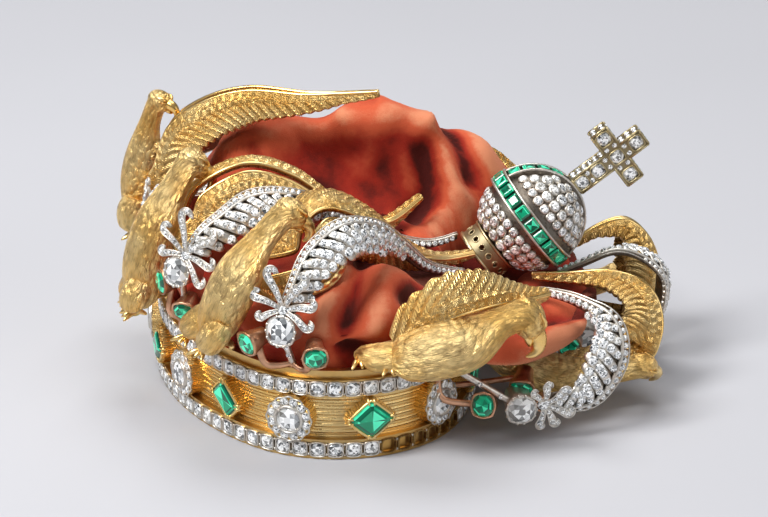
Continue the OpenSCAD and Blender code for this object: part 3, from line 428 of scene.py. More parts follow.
def goldFinish(name, pattern, tarnishAndShade=0.5, rough=None, look=goldLook):
    f = Finish(name)
    worn, patches, grain = f.mark("worn"), f.noise(0.09, 3), f.noise(1.6, 3, 0.6)
    x, y = f.split("flow")
    if pattern == "scales":  # small uneven feathers under fine chased barbs
        feather = f.cellsAt(f.spot(x / look["scaleLong"], y / look["scaleWide"]))
        streaks = f.noiseAt(f.spot(x * 0.6, y * 2.8), 3)
        height = (1 - feather) * 1.1 + streaks * 0.8 + grain * 0.25
        hollow = feather.ramp(0.45, 0.85) * 0.6 + (1 - streaks.ramp(0.34, 0.5)) * 0.45
    elif pattern == "barbs":  # long feathers: fine lines lean away from each quill
        q = abs(x.fract() - 0.5)
        lines = ((y + q * 3.4) * (6.283 / look["barbPitch"])).sine()
        streaks = f.noiseAt(f.spot(x * 1.4, y * 1.6), 3)
        height = lines * 0.3 + (1 - q.ramp(0.0, 0.09)) * 0.5 + streaks * 0.7
        hollow = q.ramp(0.4, 0.5) * 0.6 + (1 - streaks.ramp(0.32, 0.5)) * 0.4
    else:
        height = grain * 0.5
        hollow = f.noise(0.3, 2).ramp(0.55, 0.8) * 0.2
    # darkening mixes tarnish and dirt with painted shade: darker in the relief's hollows, between feathers, on low
    # wear values and on back faces
    dirtAndShade = ((1 - worn.ramp(0.1, 0.7)) * 0.85 + hollow * (0.5 + patches) + patches.ramp(0.5, 0.8) * 0.25) * tarnishAndShade
    colour = f.mix(patches.ramp(0.3, 0.7), look["bright"], look["pale"])
    colour = f.mix(dirtAndShade.least(1.0), colour, look["hollow"])
    roughness = (rough or look["rough"]) + dirtAndShade * 0.25 + patches * 0.12
    deep = {"scales": 0.85, "barbs": 0.4, "plain": 0.05}[pattern]
    return f.done(colour=colour, rough=roughness, metal=1.0, normal=f.bump(height, deep))


def silverFinish(name, bright=(0.72, 0.69, 0.63), dark=(0.10, 0.08, 0.06), copper=0.25):
    f = Finish(name)
    worn, patches, grain = f.mark("worn"), f.noise(0.12, 3), f.noise(1.3, 3)
    colour = f.mix(patches.ramp(0.4, 0.75) * copper, bright, (0.70, 0.42, 0.24))
    # darker where the wear value is low (painted shade on back faces) and in random grain
    colour = f.mix(((1 - worn.ramp(0.1, 0.8)) * 0.85 + grain.ramp(0.5, 0.8) * 0.3).least(1.0), colour, dark)
    return f.done(colour=colour, rough=0.3 + grain * 0.25, metal=1.0, normal=f.bump(grain, 0.06))


def copperFinish():
    f = Finish("copperRed")
    patches, grain = f.noise(0.2, 3), f.noise(1.8, 2)
    colour = f.mix(patches.ramp(0.35, 0.7), (0.78, 0.44, 0.27), (0.42, 0.22, 0.13))
    return f.done(colour=colour, rough=0.26 + grain * 0.2, metal=1.0, normal=f.bump(grain, 0.05))


def whiteStoneFinish():
    f = Finish("whiteStone")
    facetGlint = f.mark("facetGlint")
    # each facet is painted dark, grey or white at random: painted reflections and glints on the stones
    colour = f.mix(facetGlint.ramp(0.05, 0.45), (0.03, 0.035, 0.04), (0.42, 0.44, 0.45))
    colour = f.mix(facetGlint.ramp(0.35, 0.75), colour, (0.97, 0.98, 0.98))
    colour = f.mix(f.noise(0.08, 1).ramp(0.45, 0.7) * 0.2, colour, (0.86, 0.78, 0.62))
    # the stones also glow a little though they are no lamp: painted light
    return f.done(colour=colour, rough=0.05, ior=2.2, coat=0.6, coatRough=0.03, glow=colour, glowPower=0.12)


def greenStoneFinish():
    f = Finish("greenStone")
    facetGlint, cloud = f.mark("facetGlint"), f.noise(0.5, 3)
    # facets painted from dark to bright green at random, with brighter clouds: the stone's green plus painted glints
    colour = f.mix(facetGlint.ramp(0.1, 0.9), (0.0, 0.07, 0.035), (0.0, 0.42, 0.2))
    colour = f.mix((facetGlint * 0.8 + cloud * 0.4).ramp(0.7, 0.98), colour, (0.08, 0.85, 0.5))
    # the stones glow a little though they are no lamp: painted light
    return f.done(colour=colour, rough=0.06, ior=1.58, coat=0.3, coatRough=0.03, glow=colour, glowPower=0.25)


# the deep red stands for painted shade in the creases; the pale colour is rubbed pile plus painted highlight on the
# ridges
velvetLook = {"deep": (0.07, 0.006, 0.004), "red": (0.32, 0.02, 0.009), "coral": (0.56, 0.095, 0.038),
              "baldAndLit": (0.68, 0.27, 0.14)}


def velvetFinish():
    f = Finish("wornVelvet")
    worn, patches, blotch, pile = f.mark("worn"), f.noise(0.035, 4, 0.6), f.noise(0.16, 4, 0.6), f.noise(3.0, 2)
    # the colour follows the ridge value: painted shade in creases, painted highlight with real wear on ridges, and
    # random blotches
    level = worn + (patches - 0.5) * 1.0 + (blotch - 0.5) * 0.5
    colour = f.mix(level.ramp(0.1, 0.45), velvetLook["deep"], velvetLook["red"])
    colour = f.mix(level.ramp(0.38, 0.85), colour, velvetLook["coral"])
    colour = f.mix((level + (pile - 0.5) * 0.25).ramp(0.85, 1.25) * 0.8, colour, velvetLook["baldAndLit"])
    height = pile * 0.6 + blotch * 0.9
    return f.done(colour=colour, rough=0.85, normal=f.bump(height, 0.25), sheen=0.45, sheenRough=0.4,
                  sheenTint=(1.0, 0.45, 0.28, 1.0), specular=0.2)


goldScales = goldFinish("goldScales", "scales", 0.55)
goldBarbs = goldFinish("goldBarbs", "barbs", 0.6)
goldPlain = goldFinish("goldPlain", "plain", 0.6, 0.22)
# a darker, rougher copy of the barb gold for the wing backs and the empty collets: painted shade
goldShadedInner = goldFinish("goldShadedInner", "barbs", 0.95, 0.36)
brass = goldFinish("oldBrass", "plain", 0.6, 0.3, brassLook)
silver = silverFinish("oldSilver")
darkSilver = silverFinish("darkSilver", (0.34, 0.30, 0.25), (0.06, 0.045, 0.03), 0.5)
copper, whiteStone, greenStone, velvet = copperFinish(), whiteStoneFinish(), greenStoneFinish(), velvetFinish()
print("finishes made")

# Camera, floor and light
view = {"distance": 950, "elevation": 24.0, "lens": 146.0, "originPixel": (309, 365), "focal": 3114.8,
        "middlePixel": (384, 258.5)}
camera = bpy.data.objects.new("camera", bpy.data.cameras.new("camera"))
bpy.context.scene.collection.objects.link(camera)
bpy.context.scene.camera = camera
camera.data.lens, camera.data.sensor_width = view["lens"], 36.0
camera.data.clip_start, camera.data.clip_end = 0.05, 20.0
tilt = math.radians(view["elevation"])
camera.location = Vector((0, -math.cos(tilt), math.sin(tilt))) * view["distance"] * mm
yaw = math.atan((view["middlePixel"][0] - view["originPixel"][0]) / view["focal"])
pitch = math.atan((view["originPixel"][1] - view["middlePixel"][1]) / view["focal"])
camera.rotation_euler = (math.pi / 2 - tilt + pitch, 0, -yaw)

studio = {"floor": (0.51, 0.51, 0.535), "floorHalf": 3, "world": (0.72, 0.74, 0.80), "worldPower": 0.26,
          "lights": [("key", (-0.6, -0.4, 0.95), 0.45, 14.0), ("top", (0.1, 0.45, 1.15), 0.7, 9.0),
                     ("fill", (0.95, -0.75, 0.6), 0.7, 3.0)]}
bpy.context.scene.view_settings.view_transform = "Standard"
floorFinish = Finish("paperFloor")
floorGrain = floorFinish.noise(0.004, 2)
floorTwo = tuple(c * 0.97 for c in studio["floor"])
floorFinish.done(colour=floorFinish.mix(floorGrain.ramp(0.3, 0.7), studio["floor"], floorTwo), rough=0.85,
                 specular=0.2)
floorMesh = bpy.data.meshes.new("floor")
corners = [(x * studio["floorHalf"], y * studio["floorHalf"], 0) for x, y in ((-1, -1), (1, -1), (1, 1), (-1, 1))]
floorMesh.from_pydata(corners, [], [(0, 1, 2, 3)])
floorMesh.materials.append(floorFinish.material)
floor = bpy.data.objects.new("floor", floorMesh)
bpy.context.scene.collection.objects.link(floor)
world = bpy.data.worlds.new("studio")
bpy.context.scene.world = world
world.use_nodes = True
world.node_tree.nodes["Background"].inputs["Color"].default_value = (*studio["world"], 1)
world.node_tree.nodes["Background"].inputs["Strength"].default_value = studio["worldPower"]
for name, place, wide, power in studio["lights"]:
    lamp = bpy.data.objects.new(name, bpy.data.lights.new(name, "AREA"))
    lamp.data.size, lamp.data.energy = wide, power
    lamp.location = place
    lamp.rotation_euler = (Vector((0.02, 0, 0.04)) - lamp.location).to_track_quat("-Z", "Y").to_euler()
    bpy.context.scene.collection.objects.link(lamp)
print("camera and light set")

# Band
band = {"stone": 4.0, "pitch": 4.9, "lostFrom": 1.05, "lostTo": 2.5, "cluster": 13.7, "clusterOut": 3.4,
        "clusterStone": 7.6, "midCollet": 8.7, "ringStone": 2.45, "ringCollet": 2.75, "ringStones": 12,
        "ringAt": 5.28, "collet": 4.75, "bead": 0.95, "beadUp": 1.55, "emerald": 8.1, "emeraldOut": 3.0,
        "emeraldCorner": 0.12}
emeraldRows = [  # width and height in emeralds, turn in degrees, stretch along the band
    (1, 1, 45, 1.16), (1, 1, 45, 1.1), (1.1, 0.8, 0, 1), (1, 1, 45, 1.1),
    (1.1, 0.8, 90, 1), (1, 1, 45, 1.1), (0.95, 0.95, 45, 1.05), (1.15, 0.78, -44, 1),
]
cushion, roundCut, roundChip = brilliant(8, 2.9, 0.6), brilliant(8), chip(8)
squareRing = outline(16, 5.0)


def bandRails():
    stones, metal = {"upper": Shape(), "lower": Shape()}, Shape()
    count = int(ovalLen // band["pitch"])
    low, high = crown["lowRail"] / 2, crown["bandHigh"] - crown["lip"] - crown["upRail"] / 2
    collet = hoop([(1.0, -0.1), (1.0, 0.07), (0.95, 0.12), (0.86, 0.12), (0.83, 0.02), (0.83, -0.1)], squareRing)
    bead = turned([(1.0, 0.0), (0.86, 0.3), (0.4, 0.52)], outline(8))
    for name, out, z in (("upper", crown["upOut"], high), ("lower", crown["lowOut"], low)):
        for k in range(count):
            s = (k + 0.5) * ovalLen / count + crown["firstSlot"] * slotLen
            place = wallPlace(s, out, z)
            lost = name == "lower" and (crown["firstSlot"] + band["lostFrom"]) * slotLen < s < (
                crown["firstSlot"] + band["lostTo"]) * slotLen
            # collets whose stones are lost take the darker gold copy and a low wear value: painted shade in the empty
            # holes
            putAt(metal, collet, place, band["collet"], 1 if lost else 0, 0.35 if lost else 0.75)
            for up in (-1, 1):
                corner = wallPlace(s + band["pitch"] / 2, out, z + up * band["beadUp"])
                putAt(metal, bead, corner, band["bead"], 0, 0.9, -0.05)
            if not lost:
                size = band["stone"] * (0.97 + 0.05 * rng.random())
                setStone(stones[name], cushion, place, size, 0.12)
    stones["upper"].build("railStonesUpper", [whiteStone], "white_stone", ["rail_stones_upper"])
    stones["lower"].build("railStonesLower", [whiteStone], "white_stone", ["rail_stones_lower"])
    metal.build("railCollets", [silver, goldShadedInner], "old_silver")


def bandMotifs():
    stones, metal, green = Shape(), Shape(), Shape()
    ringForm = hoop([(1, -0.1), (1.02, 0.1), (0.93, 0.16), (0.84, 0.12), (0.82, -0.1)], outline(24))
    rimForm = hoop([(1.0, -0.02), (1.01, 0.02), (0.985, 0.035), (0.94, 0.02), (0.93, -0.02)],
                   outline(96, lobes=12, lobe=0.03))
    for k in range(8):
        place = wallPlace((crown["firstSlot"] + 2 * k) * slotLen, band["clusterOut"], motifZ)
        origin, right, up, out = place
        putAt(metal, rimForm, place, band["cluster"])
        putAt(metal, ringForm, place, band["midCollet"])
        setStone(stones, cushion, place, band["clusterStone"], 0.35)
        for i in range(band["ringStones"]):
            a = (i + 0.5) * 2 * math.pi / band["ringStones"]
            spot = (origin + (right * math.cos(a) + up * math.sin(a)) * band["ringAt"], right, up, out)
            putAt(metal, ringForm, spot, band["ringCollet"])
            setStone(stones, roundCut, spot, band["ringStone"], 0.2)
        for i in range(4):  # claws over the centre stone
            a = (i + 0.5) * math.pi / 2
            way = right * math.cos(a) + up * math.sin(a)
            tube(metal, [origin + way * 4.15 + out * 0.2, origin + way * 3.9 + out * 1.1,
                         origin + way * 3.3 + out * 1.25], [0.45, 0.42, 0.3], 6, 0)
        w, h, turn, stretch = emeraldRows[k]
        size = band["emerald"]
        place = wallPlace((crown["firstSlot"] + 2 * k + 1) * slotLen, band["emeraldOut"], motifZ)
        origin, right, up, out = place
        cutForm = stepCut(w * size, h * size, band["emeraldCorner"], turn, stretch)
        setStone(green, cutForm, place, 1.0, 0.15)
        frameIn, frameOut = cutForm[0][24:32, :2], 1.15  # the stone's own outline, and the frame's width
        edge = np.vstack([frameIn, frameIn[:1]])
        spots = origin + edge[:, :1] * 1.06 * right + edge[:, 1:] * 1.06 * up + out * 0.15
        tube(metal, along(spots, np.linspace(0, 1, 65)), 0.42, 6, 2)
        for i in range(8):
            p = frameIn[i]
            way = unit(p[0] * right + p[1] * up)
            spot = origin + p[0] * right + p[1] * up
            tube(metal, [spot + way * frameOut - out * 1.4, spot + way * 0.7 + out * 0.35,
                         spot - way * 0.45 + out * 0.75], [0.5, 0.42, 0.28], 6, 2)
    stones.build("clusterStones", [whiteStone], "white_stone", [f"cluster_diamond_{k}" for k in range(1, 9)])
    green.build("bandEmeralds", [greenStone], "green_stone", [f"band_emerald_{k}" for k in range(1, 9)])
    metal.build("bandSettings", [silver, goldPlain, goldPlain], "gold")


def dressNode(name, finish):
    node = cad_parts[name]
    node.data.materials.clear()
    node.data.materials.append(finish)


reeds = {"pitch": 1.857, "finePitch": 0.62, "low": 6.0, "high": 19.0, "soft": 0.3}
bandFinish = Finish("bandGold")
place = bandFinish.make("SeparateXYZ", None, {0: bandFinish.make("TexCoord", out=3)})
level = Wire(bandFinish, place.socket.node.outputs[2]) * (1 / mm)
lines = (level * (6.283 / reeds["pitch"])).sine() * 0.5 + (level * (6.283 / reeds["finePitch"])).sine() * 0.5
patches, grain = bandFinish.noise(0.06, 3), bandFinish.noise(1.6, 3)
inReeds = (level.ramp(reeds["low"], reeds["low"] + reeds["soft"])
           * (1 - level.ramp(reeds["high"] - reeds["soft"], reeds["high"])))
# darker in the bottoms of the reeds (painted shade, with dirt), in random tarnish patches, and outside the reeded
# strip
dirtAndShade = (lines.ramp(-0.2, -1.0) * 0.55 * inReeds + patches.ramp(0.5, 0.8) * 0.35 + (1 - inReeds) * 0.35).least(1.0)
bandColour = bandFinish.mix(patches.ramp(0.3, 0.7), goldLook["bright"], goldLook["pale"])
bandFinish.done(colour=bandFinish.mix(dirtAndShade, bandColour, goldLook["hollow"]), rough=0.2 + dirtAndShade * 0.25 + grain * 0.1,
                metal=1.0, normal=bandFinish.bump(lines * inReeds * 0.8 + grain * 0.3, 0.14))
dressNode("band", bandFinish.material)
bandRails()
bandMotifs()
print("band dressed")

# Eagles
eagles = [  # slot, size, two feet, then the body from hip to beak: shares out, aside and up from the slot
    (1, 1.22, [0, -0.07, 0.05], [0.12, 0.12, 0.03], [0.15, 0.23, 0.12], [0.2, 0.44, 0.17], [0.19, 0.68, 0.21],
     [0.14, 0.93, 0.31], [0.09, 1.14, 0.31], [0.11, 1.21, 0.12]),
    (3, 0.95, [0.1, 0.1, -0.08], [0.1, -0.1, -0.08], [0.3, 0, -0.2], [0.51, 0.04, -0.3], [0.75, 0.14, -0.39],
     [1.06, 0.28, -0.38], [1.28, 0.38, -0.35], [1.34, 0.46, -0.42]),
    (5, 1, [0.1, 0.1, -0.08], [0.1, -0.1, -0.08], [0.32, 0.04, -0.2], [0.59, 0.12, -0.27], [0.89, 0.18, -0.3],
     [1.14, 0.16, -0.3], [1.33, 0.14, -0.25], [1.4, 0.14, -0.3]),
    (7, 0.95, [0.1, 0.15, 0.05], [0.09, -0.13, 0.06], [0.3, 0.02, 0.12], [0.48, -0.03, 0.22], [0.62, -0.08, 0.31],
     [0.72, -0.16, 0.39], [0.78, -0.26, 0.41], [0.86, -0.34, 0.33]),
    (11, 0.8, [0.27, 0.13, 0.08], [0.28, -0.04, 0.05], [0.27, 0.09, 0.32], [0.28, 0.04, 0.52], [0.23, 0.03, 0.76],
     [0.17, 0.04, 1.01], [0.09, 0.04, 1.19], [0, 0.07, 1.16]),
    (13, 1, [0.24, -0.12, -0.08], [0.27, 0.13, -0.06], [0.2, 0.05, 0.11], [0.17, 0.09, 0.36], [0.08, 0.1, 0.65],
     [-0.06, 0.05, 0.9], [-0.21, -0.01, 1.06], [-0.33, -0.01, 0.95]),
    (15, 1, [0.18, -0.27, 0.04], [0.24, -0.02, 0.03], [0.2, 0.06, 0.26], [0.16, 0.13, 0.46], [0.07, 0.19, 0.68],
     [-0.1, 0.23, 0.89], [-0.3, 0.3, 1.06], [-0.41, 0.37, 0.93]),
]
wingLines = [  # fold, body place that it starts from, a place inside it, then its line in the crown's shares
    (14, 0, [0.9, -0.1, 0.1], [0.82, -1.02, 0.22], [1.07, -0.95, 0.27], [1.3, -0.83, 0.27], [1.5, -0.68, 0.24]),
    (66, 2, [1.5, -0.3, -0.2], [2.13, -0.4, -0.28], [2.27, -0.34, -0.16], [2.27, -0.28, -0.01], [2.16, -0.24, 0.1],
     [1.94, -0.2, 0.14], [1.68, -0.17, 0.12], [1.44, -0.15, 0.11]),
    (60, 2, [1.5, 0.2, -0.2], [2.24, 0.3, -0.24], [2.34, 0.3, -0.08], [2.28, 0.3, 0.1], [2.12, 0.29, 0.21],
     [1.92, 0.27, 0.18], [1.76, 0.25, 0.1]),
    (50, 2, [0.2, 0.2, 0], [1.0, 0.99, 0.33], [1.21, 0.94, 0.32], [1.4, 0.83, 0.28], [1.52, 0.7, 0.2]),
    (60, 2, [0, 0.3, 0], [-1.08, 0.46, 0.45], [-0.96, 0.4, 0.7], [-0.73, 0.34, 0.85], [-0.43, 0.28, 0.93],
     [-0.06, 0.18, 0.94], [0.2, 0.13, 0.96], [0.43, 0.07, 0.99]),
    (40, 2, [0, 0.2, 0], [-0.84, -0.22, 0.46], [-0.74, -0.18, 0.58], [-0.45, -0.15, 0.68], [-0.16, -0.12, 0.62],
     [0.14, -0.09, 0.46], [0.46, -0.03, 0.34], [0.72, 0.06, 0.44]),
    (35, 2, [0.2, 0, 0], [-0.1, -0.72, 0.45], [-0.03, -0.66, 0.58], [0.1, -0.58, 0.62], [0.34, -0.49, 0.52],
     [0.6, -0.37, 0.34], [0.82, -0.25, 0.24], [1.057, -0.162, 0.227]),
]
bird = {"wide": 13.6, "wing": 12.5, "gap": 4.4, "thick": 1.1, "featherPitch": 3.4, "covertRow": 2.3,
        "covertPitch": 2.8, "covertShare": 0.4, "relief": 0.6, "toe": 0.8, "head": 0.62}
girths = [0.4, 0.84, 1.02, 0.98, 0.6, 0.6]
wingWidth = ([0, 0.15, 0.35, 0.55, 0.72, 0.86, 1], [0.4, 0.8, 1, 0.85, 0.45, 0.24, 0.12])
wingApart = ([0, 0.3, 0.7, 0.85, 1], [0.7, 0.5, 0.2, 0.05, 0.05])


def bodyLine(k):
    p = [fromSlot(eagles[k][0], q) for q in eagles[k][4:10]]
    return np.array([p[0] - (p[1] - p[0]) * 0.5] + p)


def wingLine(k):
    root = fromSlot(eagles[k][0], eagles[k][4 + wingLines[k][1]])
    return np.array([root] + [fromShares(p) for p in wingLines[k][3:]])


def wing(shape, k, side):
    fold, inner, line = math.radians(wingLines[k][0]), fromShares(wingLines[k][2]), wingLine(k)
    rows, columns = 150, 30
    ts, us = np.linspace(0, 1, rows), np.linspace(0, 1, columns)
    way, out, mid = wayAlong(line, ts), outAlong(line, ts, inner), along(line, ts)
    s = side * np.cross(way, out)
    wide = bird["wing"] * np.interp(ts, *wingWidth)
    rim = mid + s * (bird["gap"] * np.interp(ts, *wingApart))[:, None]
    across = s * math.cos(fold) - out * math.sin(fold)
    inward = -s * math.sin(fold) - out * math.cos(fold)
    run = lengths(mid)[:, None]
    span = us[None, :] * wide[:, None]
    q = (run - 1.25 * span) / bird["featherPitch"]
    scallop = 1 + us[None, :] ** 3 * (0.1 * abs(np.sin(math.pi * q)) - 0.05)
    rowAt = span / bird["covertRow"]
    c = run / bird["covertPitch"] + 0.5 * (np.floor(rowAt) % 2)
    coverts = 1 - (rowAt + 0.16 * np.cos(2 * math.pi * c)) % 1
    f = q % 1
    quills = 0.75 * f + 0.35 * np.exp(-((f - 0.5) / 0.08) ** 2)
    zone = smooth(us[None, :], bird["covertShare"] - 0.03, bird["covertShare"] + 0.03) + 0 * q
    relief = coverts * (1 - zone) + quills * zone + 0.5 * (1 - zone)
    high = bird["relief"] * np.minimum(1, wide / 7)[:, None] * relief * smooth(1 - us[None, :], 0, 0.04) - 0.2
    arch = (-us * (1 - us) * 0.6)[None, :, None] * wide[:, None, None]
    top = (rim[:, None] + across[:, None] * (span * scallop)[..., None] + inward[:, None] * arch
           - inward[:, None] * high[..., None])
    back = top + inward[:, None] * (bird["thick"] + high)[..., None]
    flow = np.stack([np.where(zone > 0.5, q, c), span + 0 * q, zone], -1)
    # lower wear value in the relief's grooves, and the back faces take the darker gold copy: painted shade, partly
    # dirt in the grooves
    worn = np.clip(0.25 + 0.75 * relief, 0, 1)
    sheetSolid(shape, top, back, 1, 2, flow, worn, 0.4)
    tube(shape, rim - inward * 0.1, 0.62 * np.minimum(1, wide / 4 + 0.4), 8, 3)


def roundRow(shape, line, ts, radii, sides, slot, tall=1.0):
    way = wayAlong(line, ts)
    tube(shape, along(line, ts), radii, sides, slot, tall, np.cross(np.cross(way, [0.3, 0.9, 0.2]), way) * -1)


def claw(shape, foot, out):
    side = np.cross([0, 0, 1], out)
    for k in (-1, 0, 1, 2):
        reach = (out + side * k * 0.75) if k < 2 else -out * 0.8
        path = [foot, foot + reach * 1.6 + [0, 0, 0.5], foot + reach * 3.2 + [0, 0, -0.1],
                foot + reach * 4.3 + [0, 0, -0.7]]
        us = np.linspace(0, 1, 9)
        tube(shape, along(path, us), np.interp(us, [0, 0.5, 0.8, 1], [0.85, 0.8, 0.5, 0.12]), 7, 3)


def eagleHead(shape, line, r):  # r: half the head's width
    chest, head, beak = line[3], line[5], line[6]
    h = unit(beak - head)
    up = unit((head - chest) - h * ((head - chest) @ h))
    if abs(unit(head - chest) @ h) > 0.96:
        up = unit(np.cross(np.cross(h, [0, 0, 1.0]), h))
    side = np.cross(h, up)

    def at(onward, high, aside=0):  # a place on the head, in half widths
        return head + h * onward * r + side * aside * r + up * high * r

    ball(shape, head + h * 0.1 * r, np.array([1.28, 0.92, 1.0]) * r, [h, side, up], 0, 12, 18, 0.85, 14)
    for sign in (-1, 1):
        brow = [at(1.05, 0.42, sign * 0.3), at(0.6, 0.58, sign * 0.72), at(-0.1, 0.5, sign * 0.82)]
        tube(shape, along(brow, np.linspace(0, 1, 8)), [0.35, 0.5, 0.58, 0.6, 0.58, 0.5, 0.4, 0.2], 7, 3)
        ball(shape, at(0.55, 0.22, sign * 0.78), np.array([0.55, 0.55, 0.55]), None, 3, 6, 8, 0.3)
    us, hook = np.linspace(0, 1, 12), [at(0.7, 0.05), at(1.35, 0.12), at(1.9, -0.05), at(2.15, -0.5), at(2.05, -0.95)]
    tube(shape, along(hook, us), np.interp(us, [0, 0.3, 0.6, 1], [0.52, 0.46, 0.3, 0.05]) * r, 10, 3, 1.15)
    low = [at(0.8, -0.35), at(1.35, -0.42), at(1.65, -0.5)]
    tube(shape, low, [0.34 * r, 0.26 * r, 0.08 * r], 8, 3)


def eagleLegs(shape, e, line, out):
    hip = line[1]
    feet = [fromSlot(e[0], share) + [0, 0, bird["toe"]] for share in (e[2], e[3])]
    for n, foot in enumerate(feet):
        apart = unit(foot - feet[1 - n])
        start = hip * 0.55 + line[2] * 0.45 + apart * bird["wide"] * 0.24 + out * n
        us, knee = np.linspace(0, 1, 20), start * 0.5 + foot * 0.5 + out * 1.6 + apart * 1.2
        path = along([start, knee, foot + [0, 0, 2.2], foot + [0, 0, 0.5]], us)
        radii = np.interp(us, [0, 0.2, 0.42, 0.62, 0.7, 1], [0.26, 0.33, 0.31, 0.17, 0.085, 0.075])
        tube(shape, path, radii * bird["wide"], 18, 0)
        claw(shape, foot, out)


def eagle(k):
    shape, e, line = Shape(), eagles[k], bodyLine(k)
    size, hip = e[1] * bird["wide"] / 2, line[1]
    ts = np.linspace(0, 0.84, 46)
    radii = along(np.array(girths)[:, None] * [[1, 0, 0]], ts / (5 / 6) * 0.999)[:, 0] * size
    roundRow(shape, line, ts, radii, 26, 0, 0.94)
    eagleHead(shape, line, bird["head"] * size)
    for sign in (-1, 1):
        wing(shape, k, sign)
    a = slotAt(e[0])[2]
    out = np.array([math.cos(a), math.sin(a), 0])
    eagleLegs(shape, e, line, out)
    base = postFoot(e[0], e[8][2] < 0)
    tube(shape, [base, base + [0, 0, crown["postHigh"]]], crown["post"], 10, 3)
    stay = along([base + [0, 0, 1.2], (base + hip) / 2 + out, hip + out * 2], np.linspace(0, 1, 8))
    tube(shape, stay, np.linspace(0.8, 2.6, 8), 10, 0)
    shape.build(f"eagle{k + 1}", [goldScales, goldBarbs, goldShadedInner, goldPlain], "gold", [f"eagle_{k + 1}"])


for k in range(7):
    eagle(k)
print("eagles made")

# Palmettes
palmettes = [  # slot, size of the fan, big stone, two side stones, middle of the fan
    (0, 0.92, [0.12, -0.04, 0.32], [0.17, -0.28, 0.21], [0.1, 0.21, 0.14], [0.09, -0.03, 0.47]),
    (2, 0.6, [0.55, 0.34, -0.41], [0.39, 0.1, -0.34], [0.43, 0.5, -0.33], [0.66, 0.46, -0.38]),
    (4, 0.4, [0.87, 0.1, -0.38], [0.75, -0.14, -0.36], [0.75, 0.32, -0.36], [1.12, 0.12, -0.36]),
    (6, 0.6, [0.5, 0.14, -0.1], [0.42, -0.08, -0.14], [0.36, 0.34, -0.12], [0.7, 0.14, -0.05]),
    (8, 0.45, [0.2, 0, 0.29], [0.2, -0.25, 0.18], [0.2, 0.25, 0.18], [0.19, 0, 0.54]),
    (10, 0.64, [0.18, 0.01, 0.31], [0.17, -0.25, 0.18], [0.17, 0.25, 0.18], [0.16, 0, 0.49]),
    (12, 0.7, [0.14, 0, 0.31], [0.13, -0.25, 0.18], [0.13, 0.25, 0.18], [0.11, 0, 0.48]),
    (14, 1, [0.13, 0.06, 0.47], [0.17, -0.13, 0.33], [0.12, 0.14, 0.18], [0.08, 0.1, 0.6]),
]
leafLines = [  # lean to one side, a place inside it, then its line from the fan on
    (0.35, [0.4, 0, 0.1], [-0.12, -0.98, 0.42], [-0.01, -0.92, 0.56], [0.19, -0.82, 0.64], [0.4, -0.68, 0.58],
     [0.56, -0.52, 0.44], [0.72, -0.42, 0.29], [0.86, -0.34, 0.22], [0.98, -0.3, 0.19]),
    (-0.35, [1.8, 0.4, -0.1], [1.72, -0.83, -0.26], [1.86, -0.82, -0.15], [1.93, -0.78, 0], [1.88, -0.7, 0.12],
     [1.7, -0.6, 0.17], [1.52, -0.5, 0.17], [1.42, -0.44, 0.15]),
    (0.15, [1.6, 0, -0.2], [2.27, 0.04, -0.28], [2.36, 0.04, -0.14], [2.36, 0.03, 0.02], [2.22, 0.02, 0.13],
     [2.01, 0.01, 0.17], [1.8, 0, 0.11], [1.6, -0.02, 0.055]),
    (0.2, [1, 0.2, -0.2], [1.52, 0.66, 0.08], [1.66, 0.62, 0.16], [1.74, 0.52, 0.2], [1.76, 0.42, 0.18]),
    (-0.2, [0.2, 0.2, 0], [0.14, 1.03, 0.42], [0.14, 0.95, 0.5], [0.2, 0.83, 0.56], [0.3, 0.7, 0.58]),
    (0.2, [0, 0.2, 0], [-0.83, 0.9, 0.4], [-0.7, 0.92, 0.42], [-0.46, 0.9, 0.42], [-0.2, 0.87, 0.41]),
    (-0.2, [0, 0.2, 0], [-1.13, 0.16, 0.35], [-1.02, 0.15, 0.43], [-0.82, 0.14, 0.45], [-0.6, 0.13, 0.44],
     [-0.46, 0.12, 0.43]),
    (0.35, [0, 0.3, 0.1], [-0.73, -0.58, 0.5], [-0.6, -0.55, 0.57], [-0.39, -0.48, 0.65], [-0.12, -0.39, 0.62],
     [0.17, -0.29, 0.5], [0.5, -0.2, 0.34], [0.76, -0.12, 0.27], [0.95, -0.066, 0.285]),
]
fanLeaves = [(-110, 0.2, 0.05), (-66, 0.27, 0.055), (-22, 0.34, 0.06),
             (24, 0.34, 0.065), (66, 0.27, 0.06), (106, 0.26, 0.055)]  # angle, length and width
leaf = {"wide": 12, "thick": 1.0, "rowPitch": 4.0, "plate": 1.75, "stone": 2.95, "bigStone": 7.8, "sideStone": 6.2,
        "colletHigh": 5.0, "narrow": 2.7, "fanStone": 1.85, "bigHigh": 2.6, "hub": 4.6, "hubHigh": 1.5,
        "rowStep": 1.95}
leafWidth = ([0, 0.18, 0.36, 0.52, 0.66, 0.85, 1], [0.4, 0.8, 1, 0.75, 0.4, 0.26, 0.22])
seatForm = turned([(0.9, -0.5), (1.0, 0.0), (0.86, 0.1)], outline(8))
lobedCollet = hoop([(0.86, -0.9), (0.9, -0.3), (1.02, 0.0), (1.0, 0.06), (0.86, 0.06), (0.84, -0.9)],
                   outline(24, 2.6, 8, 0.02))
tallCollet = hoop([(0.62, -0.86), (0.7, -0.55), (0.92, -0.12), (1.02, 0.0), (0.98, 0.05), (0.84, 0.04), (0.6, -0.86)],
                  outline(24, 2.6, 8, 0.03))


def leafLine(k):
    return np.array([fromSlot(palmettes[k][0], palmettes[k][5])] + [fromShares(p) for p in leafLines[k][2:]])


def fanWay(k):
    return unit(fromSlot(palmettes[k][0], palmettes[k][5]) - fromSlot(palmettes[k][0], palmettes[k][2]))


